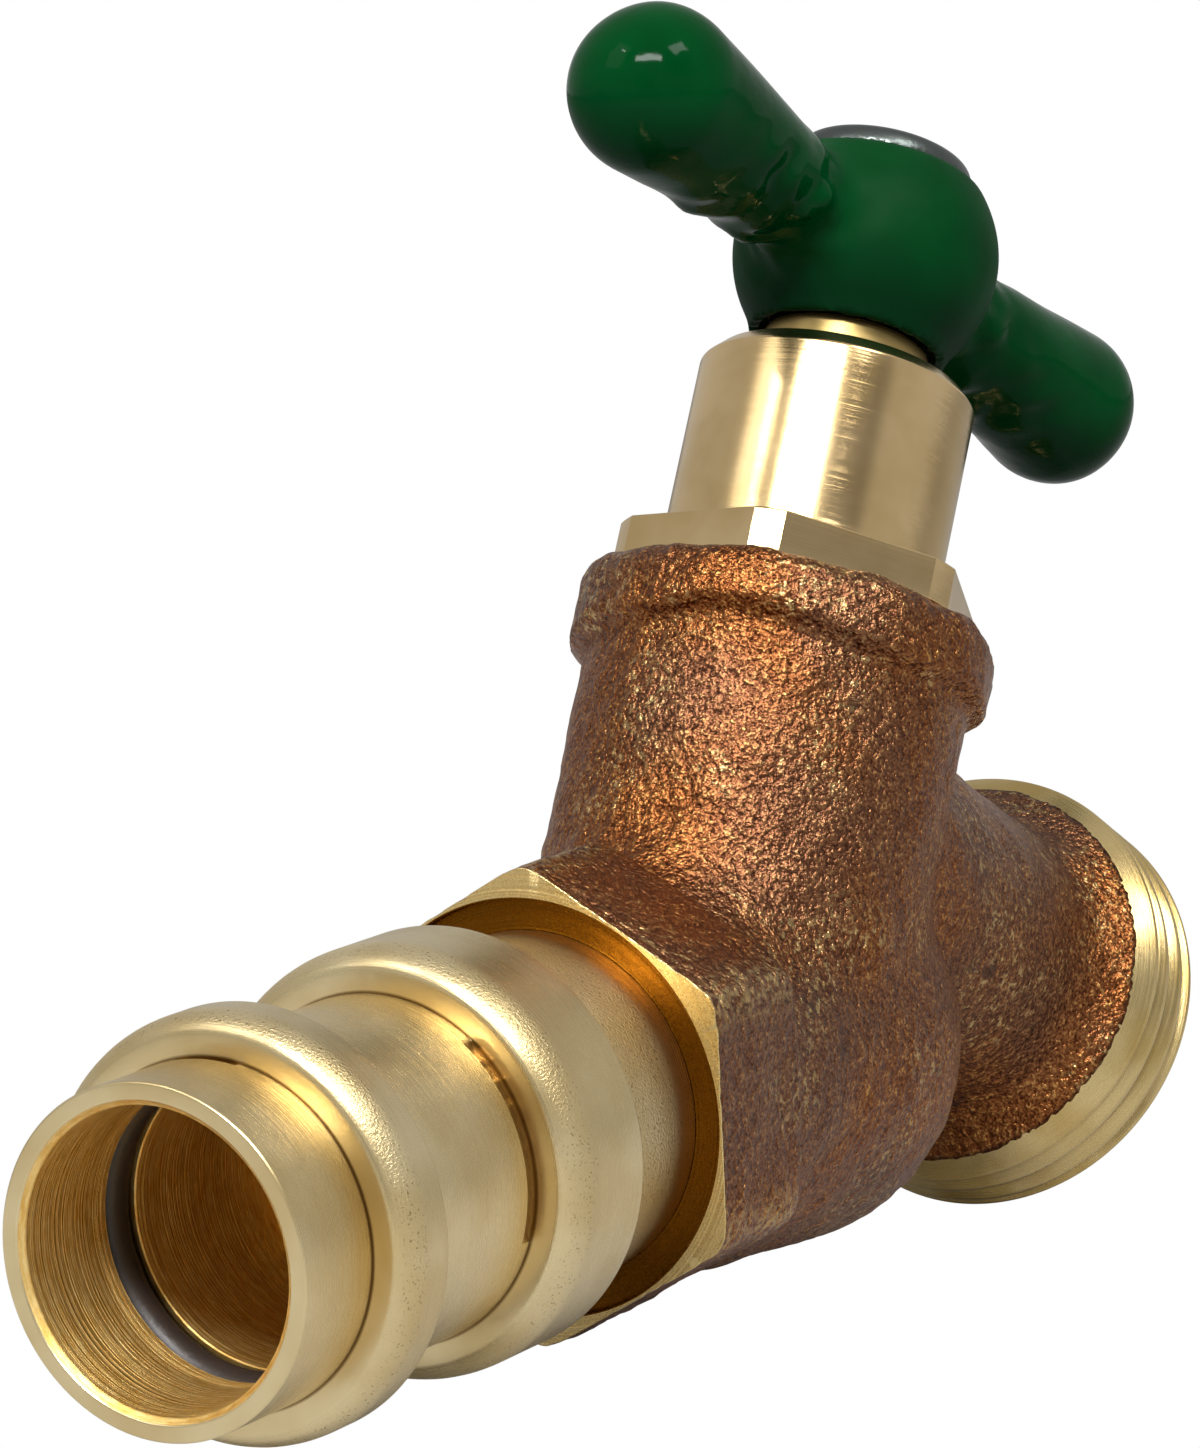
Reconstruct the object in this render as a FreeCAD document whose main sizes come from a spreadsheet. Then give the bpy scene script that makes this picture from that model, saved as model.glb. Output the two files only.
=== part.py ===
import FreeCAD, Part
import math
import os
import re
import Sketcher

# A rough bronze hose bibb: half inch press inlet, hose thread outlet, quarter turn headwork, tee handle.
# Frame: origin at the centre of the inlet mouth, +Y out of that mouth towards the supply tube, +Z up.
# The outlet runs towards -Y and down, square to the stem. Everything but the handle is alike about X = 0.
# Three local frames are used, each with its own +Z: along the inlet (into the tap), up the stem from
# where it crosses the inlet axis, and along the outlet from where it crosses the stem.

doc = FreeCAD.newDocument("HoseBibb")
sheet = doc.addObject("Spreadsheet::Sheet", "Sizes")

SIZES = [
    ("stem_distance", 55.8, "inlet mouth to the stem axis, along the inlet"),
    ("stem_lean", 28.6, "degrees that the stem leans from upright, towards the outlet"),
    ("outlet_rise", 13.7, "inlet axis to the outlet axis, along the stem"),
    ("outlet_reach", 36.95, "stem axis to the hose washer face"),
    ("film", 0.02, "gap between faces that slide or are pressed together"),
    ("thread_gap", 0.05, "radial room between screwed or pushed-in parts"),
    ("running_gap", 0.05, "radial room between the stem and its bore"),

    ("tube_bore_r", 8.0, "bore for the 15.9 mm tube"),
    ("mouth_chamfer", 0.38, "lead-in of the bore"),
    ("lip_r", 9.28, "outside of the lip before the first bead"),
    ("bead_one_start", 6.0, "first bead, front"),
    ("bead_round", 2.2, "first bead, rounding of its front"),
    ("bead_one_end", 9.8, "first bead, rear edge"),
    ("bead_one_r", 11.45, "first bead, radius"),
    ("bead_fall", 0.15, "slope of the beads at their rear"),
    ("crimp_r", 9.58, "plain length between the beads"),
    ("bead_two_start", 21.3, "second bead, front"),
    ("bead_two_end", 28.6, "second bead, rear edge"),
    ("bead_two_r", 11.92, "second bead, radius"),
    ("crevice_depth", 0.45, "undercut at the front of the second bead"),
    ("crevice_width", 0.6, "width of that undercut"),
    ("adapter_neck_r", 9.98, "neck between the second bead and the casting"),
    ("tube_stop", 22.0, "depth at which the tube stops"),
    ("water_r", 6.6, "waterway past the tube stop"),
    ("spigot_r", 9.0, "screwed tail of the adapter"),
    ("spigot_length", 9.6, "end of that tail, behind the casting's face"),
    ("press_groove_start", 7.3, "press seal groove, front"),
    ("press_groove_end", 9.9, "press seal groove, rear"),
    ("press_groove_r", 10.05, "press seal groove, bottom"),
    ("press_seal_section", 1.12, "press seal, radius of its section"),

    ("hex_face", 36.7, "inlet mouth to the machined face of the casting"),
    ("hex_flats", 24.2, "across the flats of the casting"),
    ("hex_length", 9.5, "length of those flats"),
    ("hex_round", 1.8, "rounding of the corners at the far end of the flats"),
    ("recess_r", 11.85, "turned recess round the adapter"),
    ("recess_depth", 0.8, "depth of that recess"),
    ("barrel_root_r", 11.3, "inlet barrel at the face of the casting"),
    ("barrel_r", 12.2, "inlet barrel at its round end"),
    ("chamber_distance", 62.4, "inlet mouth to the centre of the round end"),
    ("chamber_drop", 1.4, "centre of the round end below the inlet axis"),
    ("cast_wall", 2.7, "wall of the inlet chamber"),
    ("chamber_start", 9.9, "start of the inlet chamber, behind the casting's face"),
    ("neck_root_r", 11.2, "neck at the inlet axis"),
    ("neck_r", 11.65, "neck below the collar"),
    ("neck_top", 26.8, "top of the collar, up the stem"),
    ("collar_r", 12.68, "collar round the neck's mouth"),
    ("collar_height", 3.4, "height of the collar"),
    ("collar_round", 1.1, "rounding of the collar's top"),
    ("collar_blend", 1.8, "height over which the neck swells into the collar"),
    ("branch_r", 9.6, "outlet branch at the stem axis"),
    ("cast_fillet", 2.0, "fillets where barrel, neck and branch meet"),
    ("branch_end_r", 9.98, "outlet branch where it starts to flare"),
    ("flare_start", 12.05, "start of the flare, back from the hose face"),
    ("flare_end", 7.25, "end of the flare, back from the hose face"),
    ("flare_r", 12.23, "rough edge of the flare"),
    ("hose_r", 13.49, "outside of the hose thread"),
    ("hose_length", 6.1, "length of the hose thread"),
    ("hose_chamfer", 0.55, "chamfer of the hose thread"),
    ("outlet_bore_r", 7.4, "waterway of the outlet"),
    ("outlet_mouth_r", 9.0, "waterway at the hose face"),
    ("outlet_mouth_depth", 5.0, "length over which the waterway widens"),
    ("seat_height", 5.0, "valve seat above the inlet axis, up the stem"),
    ("seat_web", 3.0, "thickness of the web that carries the seat"),
    ("seat_port_r", 5.6, "opening in the seat"),
    ("valve_room_r", 9.6, "chamber round the cage"),
    ("neck_bore_r", 9.0, "screwed bore of the neck"),
    ("neck_bore_depth", 6.3, "depth of that bore"),
    ("ring_recess_r", 10.05, "recess for the headwork's seal ring"),
    ("ring_recess_depth", 1.5, "depth of that recess"),
    ("ring_section", 0.6, "headwork's seal ring, radius of its section"),

    ("bonnet_flats", 20.45, "across the flats of the headwork"),
    ("bonnet_corner_r", 11.3, "turned corners of those flats"),
    ("bonnet_hex_height", 2.65, "height of the flats"),
    ("bonnet_angle", 48.0, "degrees that the flats are turned"),
    ("bonnet_r", 8.5, "plain cylinder above and below the flats"),
    ("bonnet_top", 42.2, "top of that cylinder, up the stem"),
    ("bonnet_chamfer", 0.93, "chamfer of that cylinder"),
    ("shoulder", 21.0, "inner shoulder that the stem bears on, up the stem"),
    ("cage_r", 8.1, "outside of the disc cage"),
    ("cage_bore_r", 6.9, "inside of the disc cage"),
    ("cage_reveal", 0.4, "gap between the cage and the seat"),
    ("window_width", 9.0, "side windows of the cage"),
    ("window_low", 12.8, "lower edge of the windows, up the stem"),
    ("window_high", 17.8, "upper edge of the windows, up the stem"),
    ("key_width", 2.4, "keys of the fixed disc"),
    ("key_gap", 0.1, "room beside and past the keys"),

    ("seat_seal_height", 2.0, "seat seal"),
    ("seat_seal_wall", 1.1, "radial width of the seat seal"),
    ("support_wall", 0.6, "support ring inside the seat seal"),
    ("disc_r", 6.8, "both ceramic discs"),
    ("fixed_disc_height", 2.5, "fixed disc"),
    ("moving_disc_height", 3.0, "moving disc"),
    ("port_outer_r", 5.2, "disc openings, outer radius"),
    ("port_inner_r", 1.8, "disc openings, inner radius"),
    ("port_angle", 78.0, "degrees that each opening spans"),
    ("dog_width", 2.4, "driving bar of the stem"),
    ("dog_length", 9.6, "length of that bar"),
    ("dog_depth", 1.1, "bar sunk in the moving disc"),
    ("dog_rise", 1.4, "bar above the moving disc"),

    ("stem_r", 4.0, "stem"),
    ("stem_waist_r", 3.0, "stem between the windows"),
    ("stem_head_r", 6.5, "bearing head of the stem"),
    ("stem_head_height", 2.2, "height of that head"),
    ("washer_height", 0.5, "washer between the head and the shoulder"),
    ("washer_gap", 0.1, "room for that washer"),
    ("groove_low", 28.0, "lower seal groove of the stem"),
    ("groove_pitch", 4.0, "from the lower groove to the upper one"),
    ("groove_width", 1.7, "width of each groove"),
    ("groove_r", 2.55, "bottom of each groove"),
    ("stem_seal_section", 0.69, "stem seals, radius of the section"),
    ("bush_r", 5.07, "gland bush"),
    ("bush_height", 2.2, "bush above the headwork"),
    ("bush_seat", 3.0, "bush sunk in the headwork"),
    ("clip_height", 0.6, "spring clip on the stem"),
    ("clip_r", 4.9, "outside of the clip"),
    ("clip_groove_r", 3.3, "groove for the clip"),
    ("clip_opening", 4.4, "opening of the clip"),
    ("square_side", 5.4, "square on which the handle sits"),
    ("square_corner_r", 3.5, "turned corners of that square"),
    ("square_length", 8.3, "length of that square"),
    ("screw_r", 2.0, "handle screw"),
    ("screw_depth", 7.0, "screw in the stem"),

    ("hub_r", 8.15, "round hub of the handle"),
    ("hub_centre", 50.2, "centre of the hub, up the stem"),
    ("hub_bottom", 44.15, "lower lip of the hub, up the stem"),
    ("hub_lip_r", 6.0, "outside of that lip"),
    ("hub_top", 55.5, "flat on top of the hub, up the stem"),
    ("hub_recess_r", 5.5, "recess under the hub"),
    ("hub_recess_depth", 1.55, "depth of that recess"),
    ("handle_angle", 83.8, "degrees from +X to the arm on the inlet side"),
    ("arm_height", 50.3, "axis of the arms, up the stem"),
    ("arm_length", 23.4, "stem axis to the centre of each ball end"),
    ("ball_r", 5.15, "ball ends"),
    ("arm_angle", 6.3, "degrees that each arm widens towards its ball"),
    ("coat", 1.0, "thickness of the dipped coating"),
    ("screw_head_r", 5.6, "head of the handle screw"),
    ("screw_head_edge_r", 4.5, "head of the handle screw, where its side ends"),
    ("screw_head_side", 1.5, "height of its rounded side"),
    ("screw_head_round", 2.0, "radius of that side"),
    ("screw_head_dome", 0.3, "rise of its top"),
    ("drive_width", 1.2, "cross recess in the screw"),
    ("drive_length", 4.8, "length of that recess"),
    ("drive_depth", 1.0, "depth of that recess"),
]

for line, (alias, value, note) in enumerate(SIZES, 1):
    sheet.set("A%d" % line, alias)
    sheet.set("B%d" % line, str(value))
    sheet.set("C%d" % line, note)
    sheet.setAlias("B%d" % line, alias)
doc.recompute()
ALIASES = {alias for alias, value, note in SIZES}


def bound(text):
    """An expression with every size name pointed at the sheet."""
    return re.sub(r"[a-z][a-z_]*", lambda word: "Sizes." + word[0] if word[0] in ALIASES else word[0], text)


def worth(text):
    """The present value of an expression, in millimetres."""
    value = sheet.evalExpression(text)
    return float(getattr(value, "Value", value))


# Local frames. Each is a point and a tilt about X, written as expressions.
INLET = ("0", "0", "90")
STEM = ("-stem_distance", "0", "stem_lean")
OUTLET = ("-stem_distance - outlet_rise * sin(stem_lean * 1deg)",
          "outlet_rise * cos(stem_lean * 1deg)", "90 + stem_lean")
CHAMBER = ("-chamber_distance", "-chamber_drop",
           "90 + atan(chamber_drop / (chamber_distance - hex_face)) / 1deg")
LOCAL = ("0", "0", "0")


def place(piece, frame, along="0", turn="0", lay="0"):
    """Puts a piece that was made about its own Z axis at a station of one of the frames.

    The piece is laid over about its Y axis first and then turned about the frame's axis.
    """
    y, z, tilt = frame
    spot = "create(<<vector>>; 0; %s - (%s) * sin((%s) * 1deg); %s + (%s) * cos((%s) * 1deg))"
    spot = spot % (y, along, tilt, z, along, tilt)
    tilted = "create(<<rotation>>; create(<<vector>>; 1; 0; 0); %s)" % tilt
    turned_about = "create(<<rotation>>; create(<<vector>>; 0; 0; 1); %s)" % turn
    laid = "create(<<rotation>>; create(<<vector>>; 0; 1; 0); %s)" % lay
    rule = "create(<<placement>>; %s; %s * %s * %s)" % (spot, tilted, turned_about, laid)
    piece.setExpression("Placement", bound(rule))
    return piece


def shift(piece, x="0", y="0", z="0"):
    """Moves a piece inside its local frame."""
    for axis, text in zip("xyz", (x, y, z)):
        if text != "0":
            piece.setExpression("Placement.Base." + axis, bound(text))
    return piece


def draw(sketch, outline):
    """Draws a closed outline of (radius, station) corners, each tied to the sheet.

    A corner may carry the radius of an arc that runs from it to the next corner, and
    "left" or "right" for the side of the path on which the arc's centre lies.
    """
    corners = [FreeCAD.Vector(worth(c[0]), worth(c[1]), 0) for c in outline]
    shapes = []
    ends = []
    for i, corner in enumerate(outline):
        start = corners[i]
        end = corners[(i + 1) % len(corners)]
        if len(corner) == 2:
            shapes.append(Part.LineSegment(start, end))
            ends.append((1, 2))
            continue
        radius = worth(corner[2])
        half = (end - start) * 0.5
        side = 1 if corner[3] == "left" else -1
        across = FreeCAD.Vector(-half.y, half.x, 0).normalize() * side
        centre = start + half + across * math.sqrt(max(radius ** 2 - half.Length ** 2, 0))
        first, last = (start, end) if side == 1 else (end, start)
        angles = [math.atan2((p - centre).y, (p - centre).x) for p in (first, last)]
        circle = Part.Circle(centre, FreeCAD.Vector(0, 0, 1), radius)
        shapes.append(Part.ArcOfCircle(circle, angles[0], angles[1]))
        ends.append((1, 2) if side == 1 else (2, 1))
    sketch.addGeometry(shapes, False)
    for i in range(len(outline)):
        j = (i + 1) % len(outline)
        sketch.addConstraint(Sketcher.Constraint("Coincident", i, ends[i][1], j, ends[j][0]))
    for i, corner in enumerate(outline):
        across = ("DistanceX", corner[0], corners[i].x, -2)
        along = ("DistanceY", corner[1], corners[i].y, -1)
        for kind, text, value, axis in (across, along):
            if text == "0":
                sketch.addConstraint(Sketcher.Constraint("PointOnObject", i, ends[i][0], axis))
                continue
            index = sketch.addConstraint(Sketcher.Constraint(kind, -1, 1, i, ends[i][0], value))
            sketch.setExpression("Constraints[%d]" % index, bound(text))
        if len(corner) == 4:
            index = sketch.addConstraint(Sketcher.Constraint("Radius", i, worth(corner[2])))
            sketch.setExpression("Constraints[%d]" % index, bound(corner[2]))


def turned(name, outline):
    """A body turned about its own Z axis from an outline."""
    body = doc.addObject("PartDesign::Body", name)
    sketch = body.newObject("Sketcher::SketchObject", name + "_outline")
    plane = [f for f in body.Origin.OriginFeatures if f.Role == "XZ_Plane"][0]
    sketch.AttachmentSupport = [(plane, "")]
    sketch.MapMode = "FlatFace"
    draw(sketch, outline)
    turn = body.newObject("PartDesign::Revolution", name + "_turning")
    turn.Profile = sketch
    turn.ReferenceAxis = (sketch, ["V_Axis"])
    turn.Angle = 360
    body.Tip = turn
    return body


def tube(name, outer, inner, low, high):
    """A plain ring or disc of square section about the Z axis."""
    return turned(name, [(inner, low), (outer, low), (outer, high), (inner, high)])


def rod(name, radius, low, high, angle="360"):
    """A plain cylinder, or a sector of one, between two stations on the Z axis."""
    made = doc.addObject("Part::Cylinder", name)
    made.setExpression("Radius", bound(radius))
    made.setExpression("Height", bound("(%s) - (%s)" % (high, low)))
    made.setExpression("Angle", bound(angle))
    return shift(made, z=low)


def prism(name, flats, low, high, turn="0"):
    """A hexagonal bar between two stations, its first corner turned from the X axis."""
    made = doc.addObject("Part::Prism", name)
    made.Polygon = 6
    made.setExpression("Circumradius", bound("(%s) / sqrt(3)" % flats))
    made.setExpression("Height", bound("(%s) - (%s)" % (high, low)))
    made.setExpression("Placement.Rotation.Angle", bound(turn))
    return shift(made, z=low)


def block(name, x, y, low, high):
    """A box centred on the Z axis, between two stations."""
    made = doc.addObject("Part::Box", name)
    made.setExpression("Length", bound(x))
    made.setExpression("Width", bound(y))
    made.setExpression("Height", bound("(%s) - (%s)" % (high, low)))
    return shift(made, x="-(%s) / 2" % x, y="-(%s) / 2" % y, z=low)


def seal_ring(name, section, centre_r):
    """A ring of round section about the Z axis."""
    made = doc.addObject("Part::Torus", name)
    made.setExpression("Radius1", bound(centre_r))
    made.setExpression("Radius2", bound(section))
    return made


def fuse(name, *pieces):
    made = doc.addObject("Part::MultiFuse", name)
    made.Shapes = list(pieces)
    return made


def cut(name, base, *tools):
    made = doc.addObject("Part::Cut", name)
    made.Base = base
    made.Tool = tools[0] if len(tools) == 1 else fuse(name + "_tools", *tools)
    return made


def common(name, one, other):
    made = doc.addObject("Part::Common", name)
    made.Base = one
    made.Tool = other
    return made


SUBPARTS = []


def subpart(label, piece):
    """Names a finished piece. The name is also its file's."""
    piece.Label = label
    SUBPARTS.append(piece)
    return piece


# The press adapter: lip, bead over the seal, crimp length, second bead, neck and screwed tail.
adapter = turned("adapter_turned", [
    ("tube_bore_r", "mouth_chamfer"),
    ("tube_bore_r + mouth_chamfer", "0"),
    ("lip_r", "0"),
    ("lip_r", "bead_one_start", "bead_round", "left"),
    ("bead_one_r", "bead_one_start + bead_round"),
    ("bead_one_r - bead_fall", "bead_one_end"),
    ("crimp_r", "bead_one_end + bead_fall"),
    ("crimp_r", "bead_two_start - crevice_width"),
    ("crimp_r - crevice_depth", "bead_two_start"),
    ("crimp_r", "bead_two_start", "bead_two_r - crimp_r", "left"),
    ("bead_two_r", "bead_two_start + bead_two_r - crimp_r"),
    ("bead_two_r", "bead_two_end"),
    ("adapter_neck_r", "bead_two_end + bead_fall"),
    ("adapter_neck_r", "hex_face + recess_depth"),
    ("spigot_r", "hex_face + recess_depth"),
    ("spigot_r", "hex_face + spigot_length"),
    ("water_r", "hex_face + spigot_length"),
    ("water_r", "tube_stop"),
    ("tube_bore_r", "tube_stop"),
    ("tube_bore_r", "press_groove_end"),
    ("press_groove_r", "press_groove_end"),
    ("press_groove_r", "press_groove_start"),
    ("tube_bore_r", "press_groove_start"),
])
subpart("press_adapter", place(adapter, INLET))

# The black seal ring in the first bead stands a little proud of the bore, to grip the tube.
press_seal = seal_ring("press_seal", "press_seal_section", "press_groove_r - press_seal_section - film")
subpart("press_seal_ring", place(press_seal, INLET, "(press_groove_start + press_groove_end) / 2"))

# The casting. Outside: hexagon, barrel with a round end, neck with its collar, and outlet branch.
HEX_CORNER = "hex_flats / sqrt(3)"
hex_turned = turned("hex_turned", [
    ("0", "0"),
    (HEX_CORNER, "0"),
    (HEX_CORNER, "hex_length - hex_round", "hex_round", "left"),
    (HEX_CORNER + " - hex_round", "hex_length"),
    ("0", "hex_length"),
])
hexagon = common("hexagon", prism("hex_prism", "hex_flats", "0", "hex_length", "30"), hex_turned)
place(hexagon, INLET, "hex_face")

BARREL = "sqrt((chamber_distance - hex_face) ^ 2 + chamber_drop ^ 2)"
barrel = turned("barrel", [
    ("0", "hex_length / 2"),
    ("barrel_root_r", "hex_length / 2"),
    ("barrel_r", BARREL, "barrel_r", "left"),
    ("0", BARREL + " + barrel_r"),
])
place(barrel, CHAMBER, "-" + BARREL)

COLLAR_STEP = "(collar_r - neck_r)"
COLLAR_LOW = "neck_top - collar_height"
BLEND_R = "%s / 4 + collar_blend ^ 2 / (4 * %s)" % (COLLAR_STEP, COLLAR_STEP)
neck = turned("neck", [
    ("0", "0"),
    ("neck_root_r", "0"),
    ("neck_r", COLLAR_LOW + " - collar_blend"),
    ("neck_r", "neck_top - collar_round"),
    ("0", "neck_top - collar_round"),
])
place(neck, STEM)
collar = turned("collar", [
    ("0", COLLAR_LOW + " - collar_blend"),
    ("neck_r", COLLAR_LOW + " - collar_blend", BLEND_R, "right"),
    ("(neck_r + collar_r) / 2", COLLAR_LOW + " - collar_blend / 2", BLEND_R, "left"),
    ("collar_r", COLLAR_LOW),
    ("collar_r", "neck_top - collar_round", "collar_round", "left"),
    ("collar_r - collar_round", "neck_top"),
    ("0", "neck_top"),
])
place(collar, STEM)

branch = turned("branch", [
    ("0", "0"),
    ("branch_r", "0"),
    ("branch_end_r", "outlet_reach - flare_start"),
    ("flare_r", "outlet_reach - flare_end"),
    ("hose_r", "outlet_reach - hose_length"),
    ("hose_r", "outlet_reach - hose_chamfer"),
    ("hose_r - hose_chamfer", "outlet_reach"),
    ("0", "outlet_reach"),
])
place(branch, OUTLET)

# Barrel, neck and branch run into each other with cast fillets, along the curves in which they cross.
trunk = fuse("trunk", barrel, neck, branch)
doc.recompute()
crossings = [i for i, edge in enumerate(trunk.Shape.Edges, 1) if edge.Curve.TypeId == "Part::GeomBSplineCurve"]
trunk_eased = doc.addObject("Part::Fillet", "trunk_eased")
trunk_eased.Base = trunk
trunk_eased.Edges = [(i, worth("cast_fillet"), worth("cast_fillet")) for i in crossings]
casting_outside = fuse("casting_outside", hexagon, trunk_eased, collar)

# Inside: adapter socket, inlet chamber up to the web, seat port, room round the cage, outlet.
socket = turned("adapter_socket", [
    ("0", "hex_face - recess_depth"),
    ("recess_r", "hex_face - recess_depth"),
    ("recess_r", "hex_face + recess_depth"),
    ("spigot_r + thread_gap", "hex_face + recess_depth"),
    ("spigot_r + thread_gap", "hex_face + chamber_start + recess_depth"),
    ("0", "hex_face + chamber_start + recess_depth"),
])
place(socket, INLET)
chamber = turned("chamber_round", [
    ("0", "chamber_start"),
    ("barrel_r - cast_wall", "chamber_start"),
    ("barrel_r - cast_wall", BARREL, "barrel_r - cast_wall", "left"),
    ("0", BARREL + " + barrel_r - cast_wall"),
])
place(chamber, CHAMBER, "-" + BARREL)
web = turned("above_web", [
    ("0", "0"),
    ("4 * barrel_r", "0"),
    ("4 * barrel_r", "2 * barrel_r"),
    ("0", "2 * barrel_r"),
])
place(web, STEM, "seat_height - seat_web")
inlet_chamber = cut("inlet_chamber", chamber, web)
valve_room = turned("valve_room", [
    ("0", "0"),
    ("seat_port_r", "0"),
    ("seat_port_r", "seat_height"),
    ("valve_room_r", "seat_height"),
    ("valve_room_r", "neck_top - neck_bore_depth"),
    ("neck_bore_r", "neck_top - neck_bore_depth"),
    ("neck_bore_r", "neck_top - ring_recess_depth"),
    ("ring_recess_r", "neck_top - ring_recess_depth"),
    ("ring_recess_r", "neck_top + ring_recess_depth"),
    ("0", "neck_top + ring_recess_depth"),
])
place(valve_room, STEM)
outlet_bore = turned("outlet_bore", [
    ("0", "0"),
    ("outlet_bore_r", "0"),
    ("outlet_bore_r", "outlet_reach - outlet_mouth_depth"),
    ("outlet_mouth_r", "outlet_reach"),
    ("outlet_mouth_r", "outlet_reach + hose_chamfer"),
    ("0", "outlet_reach + hose_chamfer"),
])
place(outlet_bore, OUTLET)
casting = cut("casting", casting_outside, socket, inlet_chamber, valve_room, outlet_bore)
subpart("valve_body", casting)

# The headwork: cage with windows towards and away from the outlet, screwed shank, flats, cylinder.
CAGE_LOW = "seat_height + cage_reveal"
SHANK_LOW = "neck_top - neck_bore_depth"
headwork = turned("headwork_turned", [
    ("cage_bore_r", CAGE_LOW),
    ("cage_r", CAGE_LOW),
    ("cage_r", SHANK_LOW),
    ("neck_bore_r - thread_gap", SHANK_LOW),
    ("neck_bore_r - thread_gap", "neck_top - ring_recess_depth"),
    ("bonnet_r", "neck_top - ring_recess_depth"),
    ("bonnet_r", "bonnet_top - bonnet_chamfer"),
    ("bonnet_r - bonnet_chamfer", "bonnet_top"),
    ("bush_r + thread_gap", "bonnet_top"),
    ("bush_r + thread_gap", "bonnet_top - bush_seat"),
    ("stem_r + running_gap", "bonnet_top - bush_seat"),
    ("stem_r + running_gap", "shoulder"),
    ("cage_bore_r", "shoulder"),
])
bonnet_prism = prism("bonnet_prism", "bonnet_flats", "neck_top", "neck_top + bonnet_hex_height", "bonnet_angle")
bonnet_turning = tube("bonnet_turning", "bonnet_corner_r", "bonnet_r - bonnet_chamfer", "neck_top",
                      "neck_top + bonnet_hex_height")
bonnet_flats = common("bonnet_flats_turned", bonnet_prism, bonnet_turning)
windows = block("windows", "window_width", "3 * cage_r", "window_low", "window_high")
DISC_LOW = "seat_height + seat_seal_height"
DISC_FACE = DISC_LOW + " + fixed_disc_height"
key_slots = block("key_slots", "3 * cage_r", "key_width + 2 * key_gap", "seat_height", DISC_FACE + " + key_gap")
headwork_whole = fuse("headwork_whole", headwork, bonnet_flats)
subpart("bonnet", place(cut("headwork_cut", headwork_whole, windows, key_slots), STEM))

ring = seal_ring("headwork_ring", "ring_section", "(bonnet_r + ring_recess_r) / 2")
subpart("bonnet_seal_ring", place(ring, STEM, "neck_top - ring_recess_depth / 2"))

# The gland bush guides the stem where it leaves the headwork.
bush = tube("bush", "bush_r", "stem_r + running_gap", "bonnet_top - bush_seat", "bonnet_top + bush_height")
subpart("gland_bush", place(bush, STEM))

# Seat seal with its support ring, pressed between the casting's seat and the fixed disc.
seal_bore = "seat_port_r + thread_gap"
seat_seal = tube("seat_seal_ring", seal_bore + " + seat_seal_wall", seal_bore, "seat_height", DISC_LOW)
subpart("seat_seal", place(seat_seal, STEM))
support = tube("support", "seat_port_r", "seat_port_r - support_wall", "seat_height", DISC_LOW)
subpart("seal_support_ring", place(support, STEM))


def disc_ports(name, low, high):
    """The two sector openings that both ceramic discs have, one each way along X."""
    sectors = []
    for side, turn in (("a", "-port_angle / 2"), ("b", "180 - port_angle / 2")):
        sector = rod(name + side, "port_outer_r", low, high, "port_angle")
        sector.setExpression("Placement.Rotation.Angle", bound(turn))
        sectors.append(sector)
    return cut(name, fuse(name + "both", *sectors), rod(name + "core", "port_inner_r", low, high))


# Ceramic discs. The fixed one is keyed in the cage, the moving one is slotted for the stem's bar.
fixed_round = rod("fixed_round", "disc_r", DISC_LOW, DISC_FACE)
fixed_keys = block("fixed_keys", "2 * cage_r", "key_width", DISC_LOW, DISC_FACE)
fixed_whole = fuse("fixed_whole", fixed_round, fixed_keys)
fixed_ports = disc_ports("fixed_ports", DISC_LOW + " - film", DISC_FACE + " + film")
subpart("fixed_disc", place(cut("fixed_cut", fixed_whole, fixed_ports), STEM))
MOVING_LOW = DISC_FACE + " + film"
MOVING_TOP = MOVING_LOW + " + moving_disc_height"
moving_round = rod("moving_round", "disc_r", MOVING_LOW, MOVING_TOP)
moving_ports = disc_ports("moving_ports", MOVING_LOW + " - film", MOVING_TOP + " + film")
dog_slot = block("dog_slot", "dog_width + key_gap", "dog_length + key_gap",
                 MOVING_TOP + " - dog_depth - film", MOVING_TOP + " + film")
subpart("moving_disc", place(cut("moving_cut", moving_round, moving_ports, dog_slot), STEM))

# The stem: driving bar, waist, bearing head, shaft with two seal grooves and a clip groove, square.
HEAD_TOP = "shoulder - washer_height - washer_gap"
DOG_TOP = MOVING_TOP + " + dog_rise"
BUSH_TOP = "bonnet_top + bush_height"
CLIP_LOW = BUSH_TOP + " + key_gap"
SQUARE_LOW = "hub_bottom + hub_recess_depth"
SQUARE_TOP = SQUARE_LOW + " + square_length"
shaft_outline = [
    ("0", MOVING_TOP + " + film"),
    ("stem_waist_r", MOVING_TOP + " + film"),
    ("stem_waist_r", HEAD_TOP + " - stem_head_height"),
    ("stem_head_r", HEAD_TOP + " - stem_head_height"),
    ("stem_head_r", HEAD_TOP),
    ("stem_r", HEAD_TOP),
]
for groove in ("groove_low", "groove_low + groove_pitch"):
    shaft_outline += [
        ("stem_r", groove),
        ("groove_r", groove),
        ("groove_r", groove + " + groove_width"),
        ("stem_r", groove + " + groove_width"),
    ]
shaft_outline += [
    ("stem_r", CLIP_LOW + " - film"),
    ("clip_groove_r", CLIP_LOW + " - film"),
    ("clip_groove_r", CLIP_LOW + " + clip_height + film"),
    ("stem_r", CLIP_LOW + " + clip_height + film"),
    ("stem_r", SQUARE_LOW),
    ("0", SQUARE_LOW),
]
shaft = turned("shaft", shaft_outline)
dog = block("dog", "dog_width", "dog_length", MOVING_TOP + " - dog_depth", DOG_TOP)
square = common("square", block("square_bar", "square_side", "square_side", SQUARE_LOW, SQUARE_TOP),
                rod("square_turning", "square_corner_r", SQUARE_LOW, SQUARE_TOP))
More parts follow.
